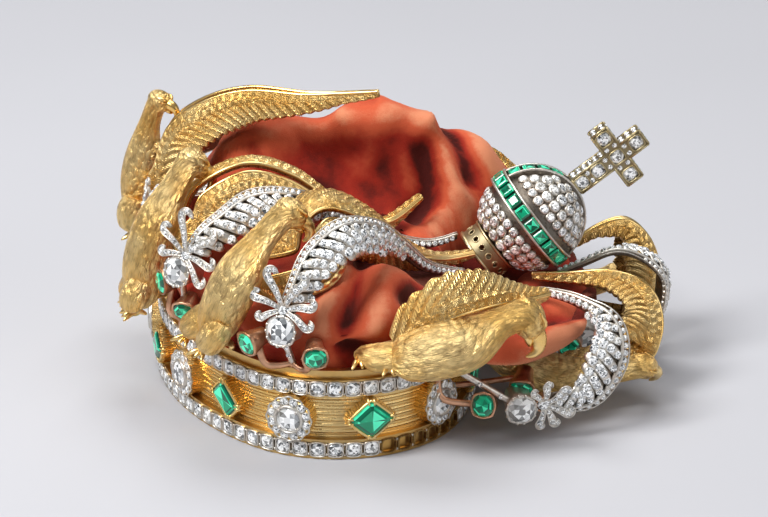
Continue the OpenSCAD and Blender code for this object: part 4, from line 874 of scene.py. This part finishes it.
def stoneOut(k):
    d, o = fanWay(k), fromSlot(palmettes[k][0], palmettes[k][2]) - fromShares(leafLines[k][1])
    return unit(o - d * (o @ d))


def sideOut(k, sign):
    n, d = stoneOut(k), fanWay(k)
    return unit(n * 0.75 + np.cross(d, n) * sign * 0.4 - d * 0.35)


def leafFrame(k):  # the leaf's length, and a function that gives its places
    line, lean, inner = leafLine(k), leafLines[k][0], fromShares(leafLines[k][1])
    dense = np.linspace(0, 1, 200)
    mid, way, out = along(line, dense), wayAlong(line, dense), outAlong(line, dense, inner)
    side, run = np.cross(way, out), lengths(along(line, dense))
    half = leaf["wide"] * np.interp(dense, *leafWidth) / 2
    total = run[-1]

    def at(s, v, lift=0.0):  # a point of the leaf: length along it, share across it, height over it
        i = np.array([np.interp(s, run, column) for column in (*mid.T, *side.T, *out.T, half)])
        c, sd, o, w = i[0:3], unit(i[3:6]), unit(i[6:9]), i[9]
        return c + sd * w * (lean + v) - o * (w * 0.3 * abs(v) ** 1.4 - lift), sd, o, w

    return at, total


def leafPlates(metal, stones, at, total, away, ribAt):  # slanting plates of graded stones; single ones at its tip
    s = 0.8
    while s < total - 1.5:
        w = at(s, 0)[3]
        if w < leaf["narrow"]:
            size = float(np.clip(1.2 * w, 1.3, 2.1))
            p, _, o, _ = at(s, 0.0, 0.3)
            putAt(metal, seatForm, facing(p, o), size * 1.15)
            setStone(stones, roundChip, facing(p, o), size, 0.1)
            s += size * 1.08
            continue
        reach, us = 1.68 * w, np.linspace(0, 1, 14)
        spots = [at(min(s + 0.72 * u * reach, total), ribAt + away * u * 1.72, 0.1 + 0.55 * math.sin(u * 2.6))
                 for u in us]
        path = np.array([spot[0] for spot in spots])
        share = min(1, 0.55 + w / 12)  # plates and stones get smaller where the leaf narrows
        halves = leaf["plate"] * np.interp(us, [0, 0.2, 0.7, 0.93, 1], [0.45, 0.8, 1, 0.8, 0.35]) * share
        tube(metal, path, halves, 10, 0, 0.42, np.array([spot[2] for spot in spots]))
        run2, u = lengths(path), 0.16
        while u < 0.95:
            size = leaf["stone"] * (0.72 + 0.38 * u) * share
            j = min(13, int(u * 13 + 0.5))
            cut = roundCut if size > 2.2 else roundChip
            setStone(stones, cut, facing(path[j], spots[j][2]), size, halves[j] * 0.4)
            u += size * 1.02 / run2[-1]
        s += leaf["rowPitch"] * share


def longLeaf(metal, stones, k):
    at, total = leafFrame(k)
    rows, columns, away = 70, 11, np.sign(leafLines[k][0])
    ribAt = -0.6 * away
    vs = np.linspace(-0.8, 0.8, columns)
    front = np.array([[at(s, v, -0.5)[0] for v in vs] for s in np.linspace(0, total, rows)])
    outs = np.array([[at(s, v)[2] for v in vs] for s in np.linspace(0, total, rows)])
    sheetSolid(metal, front, front - outs * leaf["thick"] * 0.6, 1, None, None, 0.35, 0.5)
    for v, radius in ((ribAt, 0.7), (-1.02 * away, 0.32)):  # the plain rib and the edge beside it
        path = np.array([at(s, v, 0.35)[0] for s in np.linspace(0, total, 90)])
        tube(metal, path, radius * np.interp(np.linspace(0, 1, 90), [0, 0.6, 1], [1, 0.9, 0.6]), 8, 0, 0.8)
    leafPlates(metal, stones, at, total, away, ribAt)
    s = 1.2
    while s < total * 0.62:  # one row of stones on the other side of the rib
        p, _, o, w = at(s, (ribAt - away * 0.98) / 2, 0.25)
        if w >= leaf["narrow"]:
            size = min(2.0, 0.36 * w)
            putAt(metal, seatForm, facing(p, o), size * 1.12)
            setStone(stones, roundChip, facing(p, o), size * 0.96, 0.1)
        s += leaf["rowStep"]


def fan(metal, stones, k):
    centre, n, d = fromSlot(palmettes[k][0], palmettes[k][5]), stoneOut(k), fanWay(k)
    s = np.cross(d, n)
    for angle, reach, wide in fanLeaves:
        a = math.radians(angle)
        way = d * math.cos(a) + s * math.sin(a)
        bend = np.cross(n, way) * (1 if angle > 0 else -1)
        length = reach * palmettes[k][1] * crown["figureHigh"]
        us = np.linspace(0, 1, 34)
        curl = smooth(us, 0.5, 1.0) * 3.6 - smooth(us, 0.0, 0.5) * 0.35
        heading = way[None] * np.cos(curl)[:, None] + bend[None] * np.sin(curl)[:, None]
        steps = np.interp(us[:-1], [0, 0.55, 1], [1.5, 1.1, 0.75])[:, None] * length / 33
        path = centre + way * 1.2 + n * 0.2 + np.vstack([[0, 0, 0], np.cumsum(heading[:-1] * steps, 0)])
        path = path + n[None] * (np.sin(us * math.pi) * 0.1 * length)[:, None]
        halves = np.interp(us, [0, 0.35, 0.6, 0.85, 1], [0.5, 0.85, 1.0, 0.8, 0.5]) * wide * crown["figureHigh"] / 2
        tube(metal, path, halves, 10, 0, 0.4, np.tile(n, (34, 1)))
        side = np.cross(unit(np.gradient(path, axis=0)), n)
        for sign in (-1, 1):
            tube(metal, path + side * (halves * 0.92)[:, None] * sign + n * 0.3, 0.22, 6, 0)
        run, gone = lengths(path), 1.3
        while gone < run[-1] - 0.4:
            j = int(np.searchsorted(run, gone))
            size = min(leaf["fanStone"], halves[j] * 1.75)
            setStone(stones, roundChip, facing(path[j], n), size, halves[j] * 0.36)
            gone += size * 1.04
    place = facing(centre, n)
    putAt(metal, lobedCollet, place, leaf["hub"], 2)
    setStone(stones, roundCut, place, leaf["hub"] * 0.72, 0.2)


def sideStones(metal, green, k, base):  # the two green stones on their copper supports
    row, d = palmettes[k], fanWay(k)
    for j, sign in ((0, -1), (1, 1)):
        p, out = fromSlot(row[0], row[3 + j]), sideOut(k, sign)
        spot = facing(p, out)
        putAt(metal, tallCollet, spot, leaf["sideStone"] * 1.22, 2)
        setStone(green, stepCut(1, 1, 0.28), spot, leaf["sideStone"], 0.1)
        for i in range(8):
            a = (i + 0.5) * math.pi / 4
            way = spot[1] * math.cos(a) + spot[2] * math.sin(a)
            claws = [p + way * 3.2 - out * 1.6, p + way * 3.1 + out * 0.1, p + way * 2.5 + out * 0.55]
            tube(metal, claws, [0.4, 0.38, 0.25], 6, 2)
        tail = p - out * leaf["colletHigh"] * 0.8
        swing = (tail - base) - d * ((tail - base) @ d)
        support = [base, base + swing * 0.35 - d * 1.2, base + swing * 0.75 - d * 0.6, tail]
        tube(metal, along(support, np.linspace(0, 1, 16)), np.linspace(0.75, 0.95, 16), 8, 2, 1.3)


def palmette(k):
    metal, stones, big, green = Shape(), Shape(), Shape(), Shape()
    row = palmettes[k]
    n = stoneOut(k)
    foot = postFoot(row[0], row[2][2] < 0)
    tube(metal, [foot, foot + [0, 0, crown["postHigh"]]], crown["post"], 10, 2)
    base, main = foot + [0, 0, 1.2], fromSlot(row[0], row[2])
    place = facing(main, n)
    putAt(metal, lobedCollet, place, leaf["bigStone"] * 1.14)
    for i in range(14):  # scalloped edge of small beads round the big stone
        a = i * math.pi / 7
        ball(metal, main + (place[1] * math.cos(a) + place[2] * math.sin(a)) * leaf["bigStone"] * 0.56 + n * 0.25,
             np.array([0.6, 0.6, 0.6]), [place[1], place[2], n], 0, 5, 8)
    setStone(big, cushion, place, leaf["bigStone"], 0.45)
    back = main - n * leaf["bigHigh"] * 0.7
    centre = fromSlot(row[0], row[5])
    tube(metal, along([base, (base + back) / 2 + n * 0.6, back], np.linspace(0, 1, 9)), 1.0, 8, 0)
    stalk = [back, (back + centre) / 2 - n * 0.2, centre - n * leaf["hubHigh"] / 2]
    tube(metal, along(stalk, np.linspace(0, 1, 9)), 0.95, 8, 0)
    for u in (0.25, 0.5, 0.75):  # small stones up the stem
        p = base * (1 - u) + back * u + n * (0.6 * math.sin(u * math.pi) + 0.9)
        setStone(stones, roundChip, facing(p, n), 1.7)
    sideStones(metal, green, k, base)
    fan(metal, stones, k)
    longLeaf(metal, stones, k)
    metal.build(f"palmette{k + 1}", [silver, darkSilver, copper], "old_silver", [f"palmette_{k + 1}"])
    stones.build(f"palmettePave{k + 1}", [whiteStone], "white_stone")
    big.build(f"palmetteDiamond{k + 1}", [whiteStone], "white_stone", [f"palmette_diamond_{k + 1}"])
    green.build(f"palmetteEmeralds{k + 1}", [greenStone], "green_stone", [f"palmette_emeralds_{k + 1}"])


for k in range(8):
    palmette(k)
print("palmettes made")

# Globe, collar and cross
globe = {"share": (1.44, 0, 0.345), "wide": 30, "lean": 53.5, "turn": 7, "belt": 5, "beltOut": 1.2, "beltStone": 3.7,
         "collar": 17, "collarHigh": 6, "collarWall": 1.2, "footHalf": 12, "cross": 25, "crossSpan": 19.6, "arm": 5.5,
         "crossThick": 4.4, "crossStone": 4.0, "crossBackStone": 3.2, "edgeWire": 0.42,
         "paveStones": (3.0, 3.5, 3.7, 3.4, 2.9, 2.4)}
globeC, globeR = fromShares(globe["share"]), globe["wide"] / 2
lean, spin = math.radians(globe["lean"]), math.radians(globe["turn"])
about = np.array([[math.cos(spin), -math.sin(spin), 0], [math.sin(spin), math.cos(spin), 0], [0, 0, 1]])
globeTurn = about @ np.array([[math.cos(lean), 0, math.sin(lean)], [0, 1, 0], [-math.sin(lean), 0, math.cos(lean)]])
beltR = globeR + globe["beltOut"]
collarTop = math.sqrt(globeR ** 2 - (globe["collar"] / 2 - globe["collarWall"]) ** 2) + 0.3


def inGlobe(p):
    return globeC + globeTurn @ np.asarray(p, float)


def globePlace(p, right, up, out):
    return inGlobe(p), globeTurn @ right, globeTurn @ up, globeTurn @ out


def globeRing(radius, z, count):
    turn = np.linspace(0, 2 * math.pi, count)
    return np.array([inGlobe([radius * math.cos(t), radius * math.sin(t), z]) for t in turn])


def globePave(white, metal, edge):  # rows of stones on both halves, apart from the half hoop and the foot
    hoopHalf = (globe["belt"] / 2 + 0.7) / globeR
    for half in (1, -1):
        latitude, row = edge + 1.75 / globeR, 0
        for size in globe["paveStones"]:
            lat = latitude + size / 2 / globeR
            if lat > math.pi / 2 - 0.12:
                break
            around = int(2 * math.pi * math.cos(lat) * globeR / size)
            for i in range(around):
                t = (i + 0.5 * (row % 2)) * 2 * math.pi / max(around, 1)
                p = np.array([math.cos(lat) * math.cos(t), math.cos(lat) * math.sin(t), half * math.sin(lat)])
                nearFoot = half < 0 and math.cos(lat) * globeR < globe["collar"] / 2 - 0.5
                if (half > 0 and abs(p[1]) < math.sin(hoopHalf)) or nearFoot:
                    continue
                wide = size * (1.0 + 0.1 * rng.random())
                spot = globePlace(p * (globeR + 0.35), [-math.sin(t), math.cos(t), 0],
                                  np.cross(p, [-math.sin(t), math.cos(t), 0]), p)
                putAt(metal, seatForm, spot, wide * 1.06, 0, 0.7)
                setStone(white, roundCut if wide > 2.5 else roundChip, spot, wide * 0.96, 0.05)
                for g in (0.25, 0.75):  # grains between the stones
                    tt = t + g * 2 * math.pi / max(around, 1) * 2
                    grainAt = np.array([math.cos(lat) * math.cos(tt), math.cos(lat) * math.sin(tt),
                                        half * math.sin(lat)])
                    if half < 0 or abs(grainAt[1]) > math.sin(hoopHalf):
                        ball(metal, inGlobe(grainAt * (globeR + 0.4)), np.array([0.42, 0.42, 0.42]), None, 0, 4, 6)
            latitude = lat + size / 2 / globeR * 0.94
            row += 1


def globeStones():
    green, white, metal = Shape(), Shape(), Shape()
    count = int(math.pi * globe["wide"] // (globe["beltStone"] + 0.5))
    step = 2 * math.pi / count
    square = stepCut(1, 1, 0.1)
    edge = math.asin(globe["belt"] / 2 / globeR)
    radius = globeR + 1.0
    spots = []
    for i in range(count):
        a = (i + 0.5) * step
        p = np.array([math.cos(a), math.sin(a), 0])
        spots.append(globePlace(p * radius, [-math.sin(a), math.cos(a), 0], [0, 0, 1], p))
    a = edge + step / 2
    while a < math.pi / 2 - math.radians(globe["footHalf"]):
        for b in (a, math.pi - a):
            p = np.array([math.cos(b), 0, math.sin(b)])
            spots.append(globePlace(p * radius, [-math.sin(b), 0, math.cos(b)], [0, -1, 0], p))
        a += step
    for spot in spots:
        setStone(green, square, spot, globe["beltStone"])
    for z in (-1, 1):  # edge wires of the belt and the half hoop
        lift = z * (globe["belt"] / 2 - 0.25)
        tube(metal, globeRing(beltR, lift, 120), globe["edgeWire"], 6, 0)
        half = np.linspace(edge, math.pi - edge, 70)
        arc = np.array([inGlobe([beltR * math.cos(t), lift, beltR * math.sin(t)]) for t in half])
        tube(metal, arc, globe["edgeWire"], 6, 0)
    globePave(white, metal, edge)
    green.build("globeEmeralds", [greenStone], "green_stone", ["globe_emeralds"])
    white.build("globePave", [whiteStone], "white_stone")
    metal.build("globeSettings", [silver, darkSilver], "old_silver")


def collarTrim():
    metal = Shape()
    collarR = globe["collar"] / 2
    for z, thick in ((-collarTop - 0.1, 0.5), (-collarTop - globe["collarHigh"] + 0.1, 0.6)):
        tube(metal, globeRing(collarR, z, 90), thick, 7, 0)
    for i in range(16):  # raised edge of each hole
        a = (i + 0.5) * math.pi / 8
        out = np.array([math.cos(a), math.sin(a), 0])
        side = np.array([-math.sin(a), math.cos(a), 0])
        middle = out * collarR - np.array([0, 0, collarTop + globe["collarHigh"] / 2])
        ring = [inGlobe(middle + side * 0.95 * math.cos(t) + np.array([0, 0, 0.95 * math.sin(t)]))
                for t in np.linspace(0, 2 * math.pi, 17)]
        tube(metal, ring, 0.22, 5, 0)
    metal.build("collarTrim", [brass], "gold")


def crossTrim():
    white, metal = Shape(), Shape()
    foot = beltR + 0.3
    middle = foot + globe["cross"] - globe["crossSpan"] / 2
    pitch = (globe["crossSpan"] - globe["arm"]) / 2
    seats = [(0, 0), (0, 1), (-1, 0), (1, 0), (0, -1), (0, -1.84)]
    front = globe["crossThick"] / 2
    seat = hoop([(1.0, -0.1), (1.0, 0.08), (0.93, 0.12), (0.85, 0.08), (0.84, -0.1)], squareRing)
    for x, z in seats:
        for face in (-1, 1):
            spot = globePlace([x * pitch, face * (front - 0.25), middle + z * pitch],
                              [-face, 0, 0], [0, 0, 1], [0, face, 0])
            if face < 0:
                setStone(white, cushion, spot, globe["crossStone"], 0.2)
            else:
                setStone(white, roundCut, spot, globe["crossBackStone"], 0.35)
            putAt(metal, seat, spot, globe["crossStone"] * 1.18, 0, 0.8, 0.2)
    for x, z in [(0.5, 0), (-0.5, 0), (0, 0.5), (0, -0.5), (0, -1.42)]:
        for y in (-0.32, 0.32):  # small stones between the large ones
            side = np.array([y, 0, 0]) if x == 0 else np.array([0, 0, y])
            spot = globePlace(np.array([x * pitch, -front + 0.15, middle + z * pitch]) + side * 4.4,
                              [1, 0, 0], [0, 0, 1], [0, -1, 0])
            setStone(white, roundChip, spot, 1.9)
    arm, half = globe["arm"] / 2, globe["crossSpan"] / 2
    top = foot + globe["cross"]
    edge = [(-arm, foot + 0.3), (arm, foot + 0.3), (arm, middle - arm), (half, middle - arm), (half, middle + arm),
            (arm, middle + arm), (arm, top), (-arm, top), (-arm, middle + arm), (-half, middle + arm),
            (-half, middle - arm), (-arm, middle - arm)]
    for i, (x, z) in enumerate(edge):
        x2, z2 = edge[(i + 1) % len(edge)]
        way = unit(np.array([x2 - x, 0, z2 - z]))
        length = math.hypot(x2 - x, z2 - z)
        outward = np.array([way[2], 0, -way[0]])
        for face in (-1, 1):
            tube(metal, [inGlobe([x, face * front, z]), inGlobe([x2, face * front, z2])], 0.38, 6, 0)
        for j in range(int(length // 2.0)):
            spot = np.array([x, 0, z]) + way * (j + 0.5) * length / max(int(length // 2.0), 1) + outward * 0.05
            for y in (-1.05, 1.05):
                setStone(white, roundChip, globePlace(spot + [0, y, 0], way, [0, 1, 0], outward), 1.75)
    white.build("crossStones", [whiteStone], "white_stone", ["cross_stones"])
    metal.build("crossEdges", [brass], "gold")


dressNode("globe", silver)
dressNode("collar", brass)
dressNode("cross", brass)
globeStones()
collarTrim()
crossTrim()
print("globe and cross made")

# Velvet cap
cap = {"hem": 13, "gap": 0.3, "thick": 1.5, "swell": 42, "level": 0.3, "lip": 1.2, "overLip": 3.4, "columns": 200,
       "rows": 64, "fixed": 6, "side": 1.6, "deep": 1.6, "reach": 14, "middleHigh": 45.0, "collarDent": 11.5,
       "underRows": [0.2, 0.5, 0.85], "topRows": [0.05, 0.13, 0.24, 0.38, 0.54, 0.72, 0.88, 0.985],
       "wearAndLightSteps": 26, "wearAndLightGain": 0.28, "flatArea": 0.036}
capEdge = np.array([  # slot, reach, height of the widest place, height under it
    [0, 0.04, 0.14, 0.08], [1, 0.04, 0.12, 0.08], [1.8, 0.06, 0.1, 0.07], [2.2, 0.34, -0.06, -0.1],
    [2.55, 0.62, -0.12, -0.2], [2.85, 0.78, 0, -0.04], [3.2, 0.92, 0.02, -0.01], [4, 1, 0, -0.02],
    [4.6, 0.95, 0.02, 0], [5, 0.9, 0.04, 0.02], [5.5, 0.72, 0.1, 0.04], [6, 0.56, 0.16, 0.06],
    [6.5, 0.36, 0.18, 0.08], [7, 0.12, 0.16, 0.08], [9, 0.04, 0.18, 0.08], [11, 0.04, 0.2, 0.08],
    [13, 0.04, 0.14, 0.08], [15, 0.04, 0.14, 0.08], [16, 0.04, 0.14, 0.08]])
capHills = [  # middle, height and half widths of each hill or hollow
    (-0.4, 0.46, 0.46, 0.55, 0.5), (0.12, 0.56, 0.1, 0.3, 0.4), (0.44, 0.46, 0.42, 0.3, 0.34),
    (1.1, 0.46, 0.46, 0.5, 0.4), (0.3, -0.62, 0.08, 0.4, 0.5), (1.45, 0, -0.24, 0.5, 0.6),
    (1.9, -0.1, -0.1, 0.3, 0.8), (1.4, -0.6, -0.12, 0.4, 0.5), (-0.7, -0.3, -0.06, 0.4, 0.6),
]
capFolds = [  # height and half width of each main fold or crease, then its places
    (4.0, 5.5, [(12, 25, 70), (19, 23, 71), (26, 24, 71), (34, 25, 67)]),
    (5.0, 4.5, [(34, 24, 66), (38, 20, 61), (42, 14, 53), (44, 12, 44), (42, 6, 38)]),
    (-5.5, 3.6, [(34, 20, 62), (35, 15, 56), (35, 11, 51), (30, 7, 48)]),
    (-3.0, 4.5, [(22, 15, 59), (26, 12, 54), (31, 9, 50)]),
    (-5.0, 3.4, [(39, 29, 67), (45, 22, 62), (48, 15, 54)]),
    (3.0, 6.0, [(50, 22, 60), (56, 18, 57), (62, 14, 50)]),
    (-4.0, 9.0, [(-6, 11, 56), (8, 9, 52), (17, 8, 51)]),
    (-2.0, 2.0, [(-19, 19, 64), (-17, 15, 60), (-15, 11, 57)]),
    (3.0, 5.0, [(-24, 22, 62), (-8, 24, 66), (10, 26, 68)]),
    (-5.5, 3.4, [(14, -29, 44), (11, -46, 46), (9, -57, 42), (6, -60, 33)]),
    (2.5, 4.5, [(9, -40, 47), (5, -49, 44), (3, -61, 38), (4, -62, 29)]),
    (3.0, 5.0, [(20, -25, 42), (20, -49, 45), (18, -59, 40)]),
    (3.0, 4.0, [(6, -40, 46), (13, -29, 45), (25, -15, 39), (37, -16, 36)]),
    (-4.0, 3.0, [(26, -50, 42), (30, -42, 42), (36, -30, 38)]),
    (-4.0, 3.0, [(62, -42, 34), (76, -33, 31), (85, -16, 26)]),
    (2.5, 4.0, [(64, -47, 26), (75, -41, 27), (84, -30, 24)]),
    (-2.5, 2.5, [(23, 3, 42), (27, -5, 42), (30, -6, 40)]),
]
capCentre = np.array([0.42 * crown["halfWide"], 0.06 * crown["halfLong"]])


def capHeight(x, y):
    lift = cap["level"]
    for hx, hy, high, wx, wy in capHills:
        dx = (x / crown["halfWide"] - hx) / wx
        dy = (y / crown["halfLong"] - hy) * crown["halfLong"] / crown["halfWide"] / wy
        lift = lift + high * np.exp(-dx * dx - dy * dy)
    return crown["bandHigh"] + crown["archRise"] * lift


def pressWay(i, up):
    a = slotAt(i)[2]
    return np.array([0, 0, -1.0]) if up < 0 else np.array([math.cos(a), math.sin(a), 0])


def capDents():  # where metal presses on the velvet: place, outward direction, half width, depth
    dents, side, deep = [], cap["side"], cap["deep"]
    ts = np.linspace(0.08, 1, 30)
    for k in range(7):
        line, fold, inner = wingLine(k), math.radians(wingLines[k][0]), fromShares(wingLines[k][2])
        out, mid = outAlong(line, ts, inner), along(line, ts)
        wide = bird["wing"] * np.interp(ts, *wingWidth)
        for p, o, w, apart in zip(mid, out, wide, np.interp(ts, *wingApart)):
            dents.append((p, o, bird["gap"] * apart + w * math.cos(fold) + side,
                          w * (math.sin(fold) + 0.1) + 1.3 + deep))
        e, body = eagles[k], bodyLine(k)
        way = pressWay(e[0], e[8][2])
        for i in range(6):
            r = (0.55, 0.84, 1, 0.96, 0.52, 0.58)[i] * e[1] * bird["wide"] / 2 + side
            dents.append((body[i], way, r, r))
            if i < 5:
                dents.append(((body[i] + body[i + 1]) / 2, way, r, r))
        thigh = bird["wide"] * 0.2 + side + 0.8
        for foot in (e[2], e[3], (0.05 if e[8][2] < 0 else 0, 0, 0)):
            for t in (0, 0.33, 0.66):
                dents.append((fromSlot(e[0], foot) * (1 - t) + body[1] * t, way, thigh, thigh))
    ts = np.linspace(0, 1, 36)
    for k in range(8):
        line, lean, inner = leafLine(k), leafLines[k][0], fromShares(leafLines[k][1])
        out, mid = outAlong(line, ts, inner), along(line, ts)
        for p, o, w in zip(mid, out, leaf["wide"] * np.interp(ts, *leafWidth) / 2):
            dents.append((p, o, w * (1 + abs(lean)) + side, w * 0.3 + 1.3 + deep))
        row = palmettes[k]
        way = pressWay(row[0], row[2][2])
        for j in range(3):
            for t in np.linspace(0, 1, 6):
                d, h = (leaf["bigStone"], leaf["bigHigh"]) if j == 0 else (leaf["sideStone"], leaf["colletHigh"])
                spot = fromSlot(row[0], np.array(row[2 + j]) * t)
                dents.append((spot, way, d * t / 2 + 0.9 + side, h * t + deep + 0.8))
    dents.append((globeC, np.array([0, 0, 1.0]), beltR + side + 0.6, beltR + deep + 0.4))
    collarC = globeC - globeTurn @ [0, 0, collarTop + globe["collarHigh"] / 2]
    dents.append((collarC, np.array([0, 0, 1.0]), cap["collarDent"], cap["collarDent"]))
    return dents


def pressed(grid, dents):
    moved = grid.reshape(-1, 3).copy()
    for _ in range(2):
        best = np.zeros(len(moved))
        push = np.zeros_like(moved)
        for place, way, wide, deep in dents:
            d = moved - place
            h = d @ way
            s = (np.linalg.norm(d - h[:, None] * way, axis=1) / wide) ** 6
            move = np.where((s < 1) & (h < cap["reach"]), h + deep * np.sqrt(np.clip(1 - s, 0, 1)), 0)
            more = move > best
            best[more] = move[more]
            push[more] = way
        moved = moved - push * best[:, None]
    return moved.reshape(grid.shape)


def gridNormals(grid):
    up = np.gradient(grid, axis=0)
    onward = np.roll(grid, -1, 1) - np.roll(grid, 1, 1)
    normal, row = unit(np.cross(onward, up)), len(grid) // 2
    outwards = (normal[row] * (grid[row] - np.array([*capCentre, cap["middleHigh"]]))).sum()
    return -normal if outwards < 0 else normal


def relaxed(grid, times, keep=4):  # evens the grid out, but leaves its first rows
    for _ in range(times):
        soft = (np.roll(grid, 1, 1) + np.roll(grid, -1, 1) + np.concatenate([grid[:1], grid[:-1]])
                + np.concatenate([grid[1:], grid[-1:]])) / 4
        grid = np.concatenate([grid[:keep], (grid * 0.4 + soft * 0.6)[keep:]])
    return grid


def capColumn(slot):  # one line of the cap: hem, over the lip, out to the widest place and up to near the middle
    x, y, a = slotAt(slot, -crown["bandWall"] - cap["gap"])
    out, at = np.array([math.cos(a), math.sin(a)]), np.array([x, y])
    reach, widest, under = (np.interp(slot, capEdge[:, 0], capEdge[:, c]) for c in (1, 2, 3))
    reach = reach * cap["swell"]
    widest, under = (crown["bandHigh"] + share * crown["archRise"] for share in (widest, under))
    over = crown["bandWall"] + cap["gap"] + crown["lowOut"] + 2 * cap["thick"]
    far, rise = at + out * reach, crown["bandHigh"] + cap["overLip"]
    column = [[*at, crown["bandHigh"] - cap["hem"]], [*at, crown["bandHigh"] - cap["lip"]], [*at, rise]]
    for u in cap["underRows"]:
        p = at + (far - at) * u
        column.append([*p, max(under, rise) + u * cap["lip"] if reach * u < over else under])
    column.append([*far, widest])
    for u in cap["topRows"]:
        p = far + (capCentre - far) * u
        f = math.sin(math.pi / 2 * min(1, u / 0.6) ** 0.5)
        column.append([*p, widest + (capHeight(*p) - widest) * f])
    column = np.array(column)
    run = lengths(column) + np.linspace(0, 20, len(column))  # also spaced a little by count, so no row is too thin
    return along(column, np.interp(np.linspace(0, run[-1], cap["rows"]), run, np.linspace(0, 1, len(column))))


def foldHeights(grid):  # how far each place moves out for the main folds and the small creases
    fixed = cap["fixed"]
    fold = np.zeros(grid.shape[:2])
    for high, wide, places in capFolds:
        line = along(places, np.linspace(0, 1, 25))
        near = np.linalg.norm(grid[:, :, None] - line[None, None], axis=-1).min(-1)
        fold += high * np.exp(-(near / wide) ** 2)
    for i in range(fixed, cap["rows"]):
        for j in range(cap["columns"]):
            p = Vector(grid[i, j])
            ridge = 1 - abs(noise.noise(p * 0.05 + Vector((2, 7, 1)))) * 3.2
            slow, fine = noise.noise(p * 0.035 + Vector((9, 3, 1))), noise.noise(p * 0.2)
            fold[i, j] += slow * 1.6 + fine * 0.18 - max(ridge, 0)
    return fold * smooth(np.arange(cap["rows"]), fixed, fixed + 8)[:, None]


def velvetCap():
    columns, rows, fixed = cap["columns"], cap["rows"], cap["fixed"]
    grid = np.stack([capColumn(j * crown["slots"] / columns) for j in range(columns)], 1)
    dents = capDents()
    for times in (3, 2, 1):
        shaped = pressed(grid, dents)
        shaped[:fixed, :, :2] = grid[:fixed, :, :2]
        shaped[:fixed, :, 2] = np.maximum(shaped[:fixed, :, 2], grid[:fixed, :, 2])
        shaped[:4] = grid[:4]
        grid = relaxed(shaped, times)
    grid = grid + gridNormals(grid) * foldHeights(grid)[..., None]
    shaped = pressed(grid, dents)
    shaped[:fixed] = grid[:fixed]
    grid = relaxed(shaped, 1)
    normal = gridNormals(grid)
    # height over the smoothed cap picks out ridges and creases, for painted highlight and painted shade
    height = ((grid - relaxed(grid, cap["wearAndLightSteps"])) * normal).sum(-1)
    worn = np.clip(0.5 + height * cap["wearAndLightGain"], 0.06, 1.25)  # ridges are rubbed pale and painted lit, creases get painted shade
    shape = Shape()
    outer = grid.reshape(-1, 3)
    inner = (grid - normal * cap["thick"] * 0.8).reshape(-1, 3)
    peak = grid[-1].mean(0)
    n = len(outer)
    faces = gridFaces(rows, columns, True)
    points = np.concatenate([outer, inner, [peak, peak - [0, 0, cap["thick"] * 0.8]]])
    allFaces = faces + [tuple(n + i for i in f[::-1]) for f in faces]
    for j in range(columns):
        k, b = (j + 1) % columns, (rows - 1) * columns
        allFaces += [(b + j, b + k, 2 * n), (n + b + k, n + b + j, 2 * n + 1), (j, n + j, n + k, k)]
    # the inside of the cap gets a low value: painted shade
    shape.add(points, allFaces, 0, True, None, np.concatenate([worn.ravel(), np.full(n, 0.2), [0.5, 0.2]]))
    piece = shape.build("velvetCap", [velvet], "velvet", ["velvet_cap"])


velvetCap()
print("velvet made")
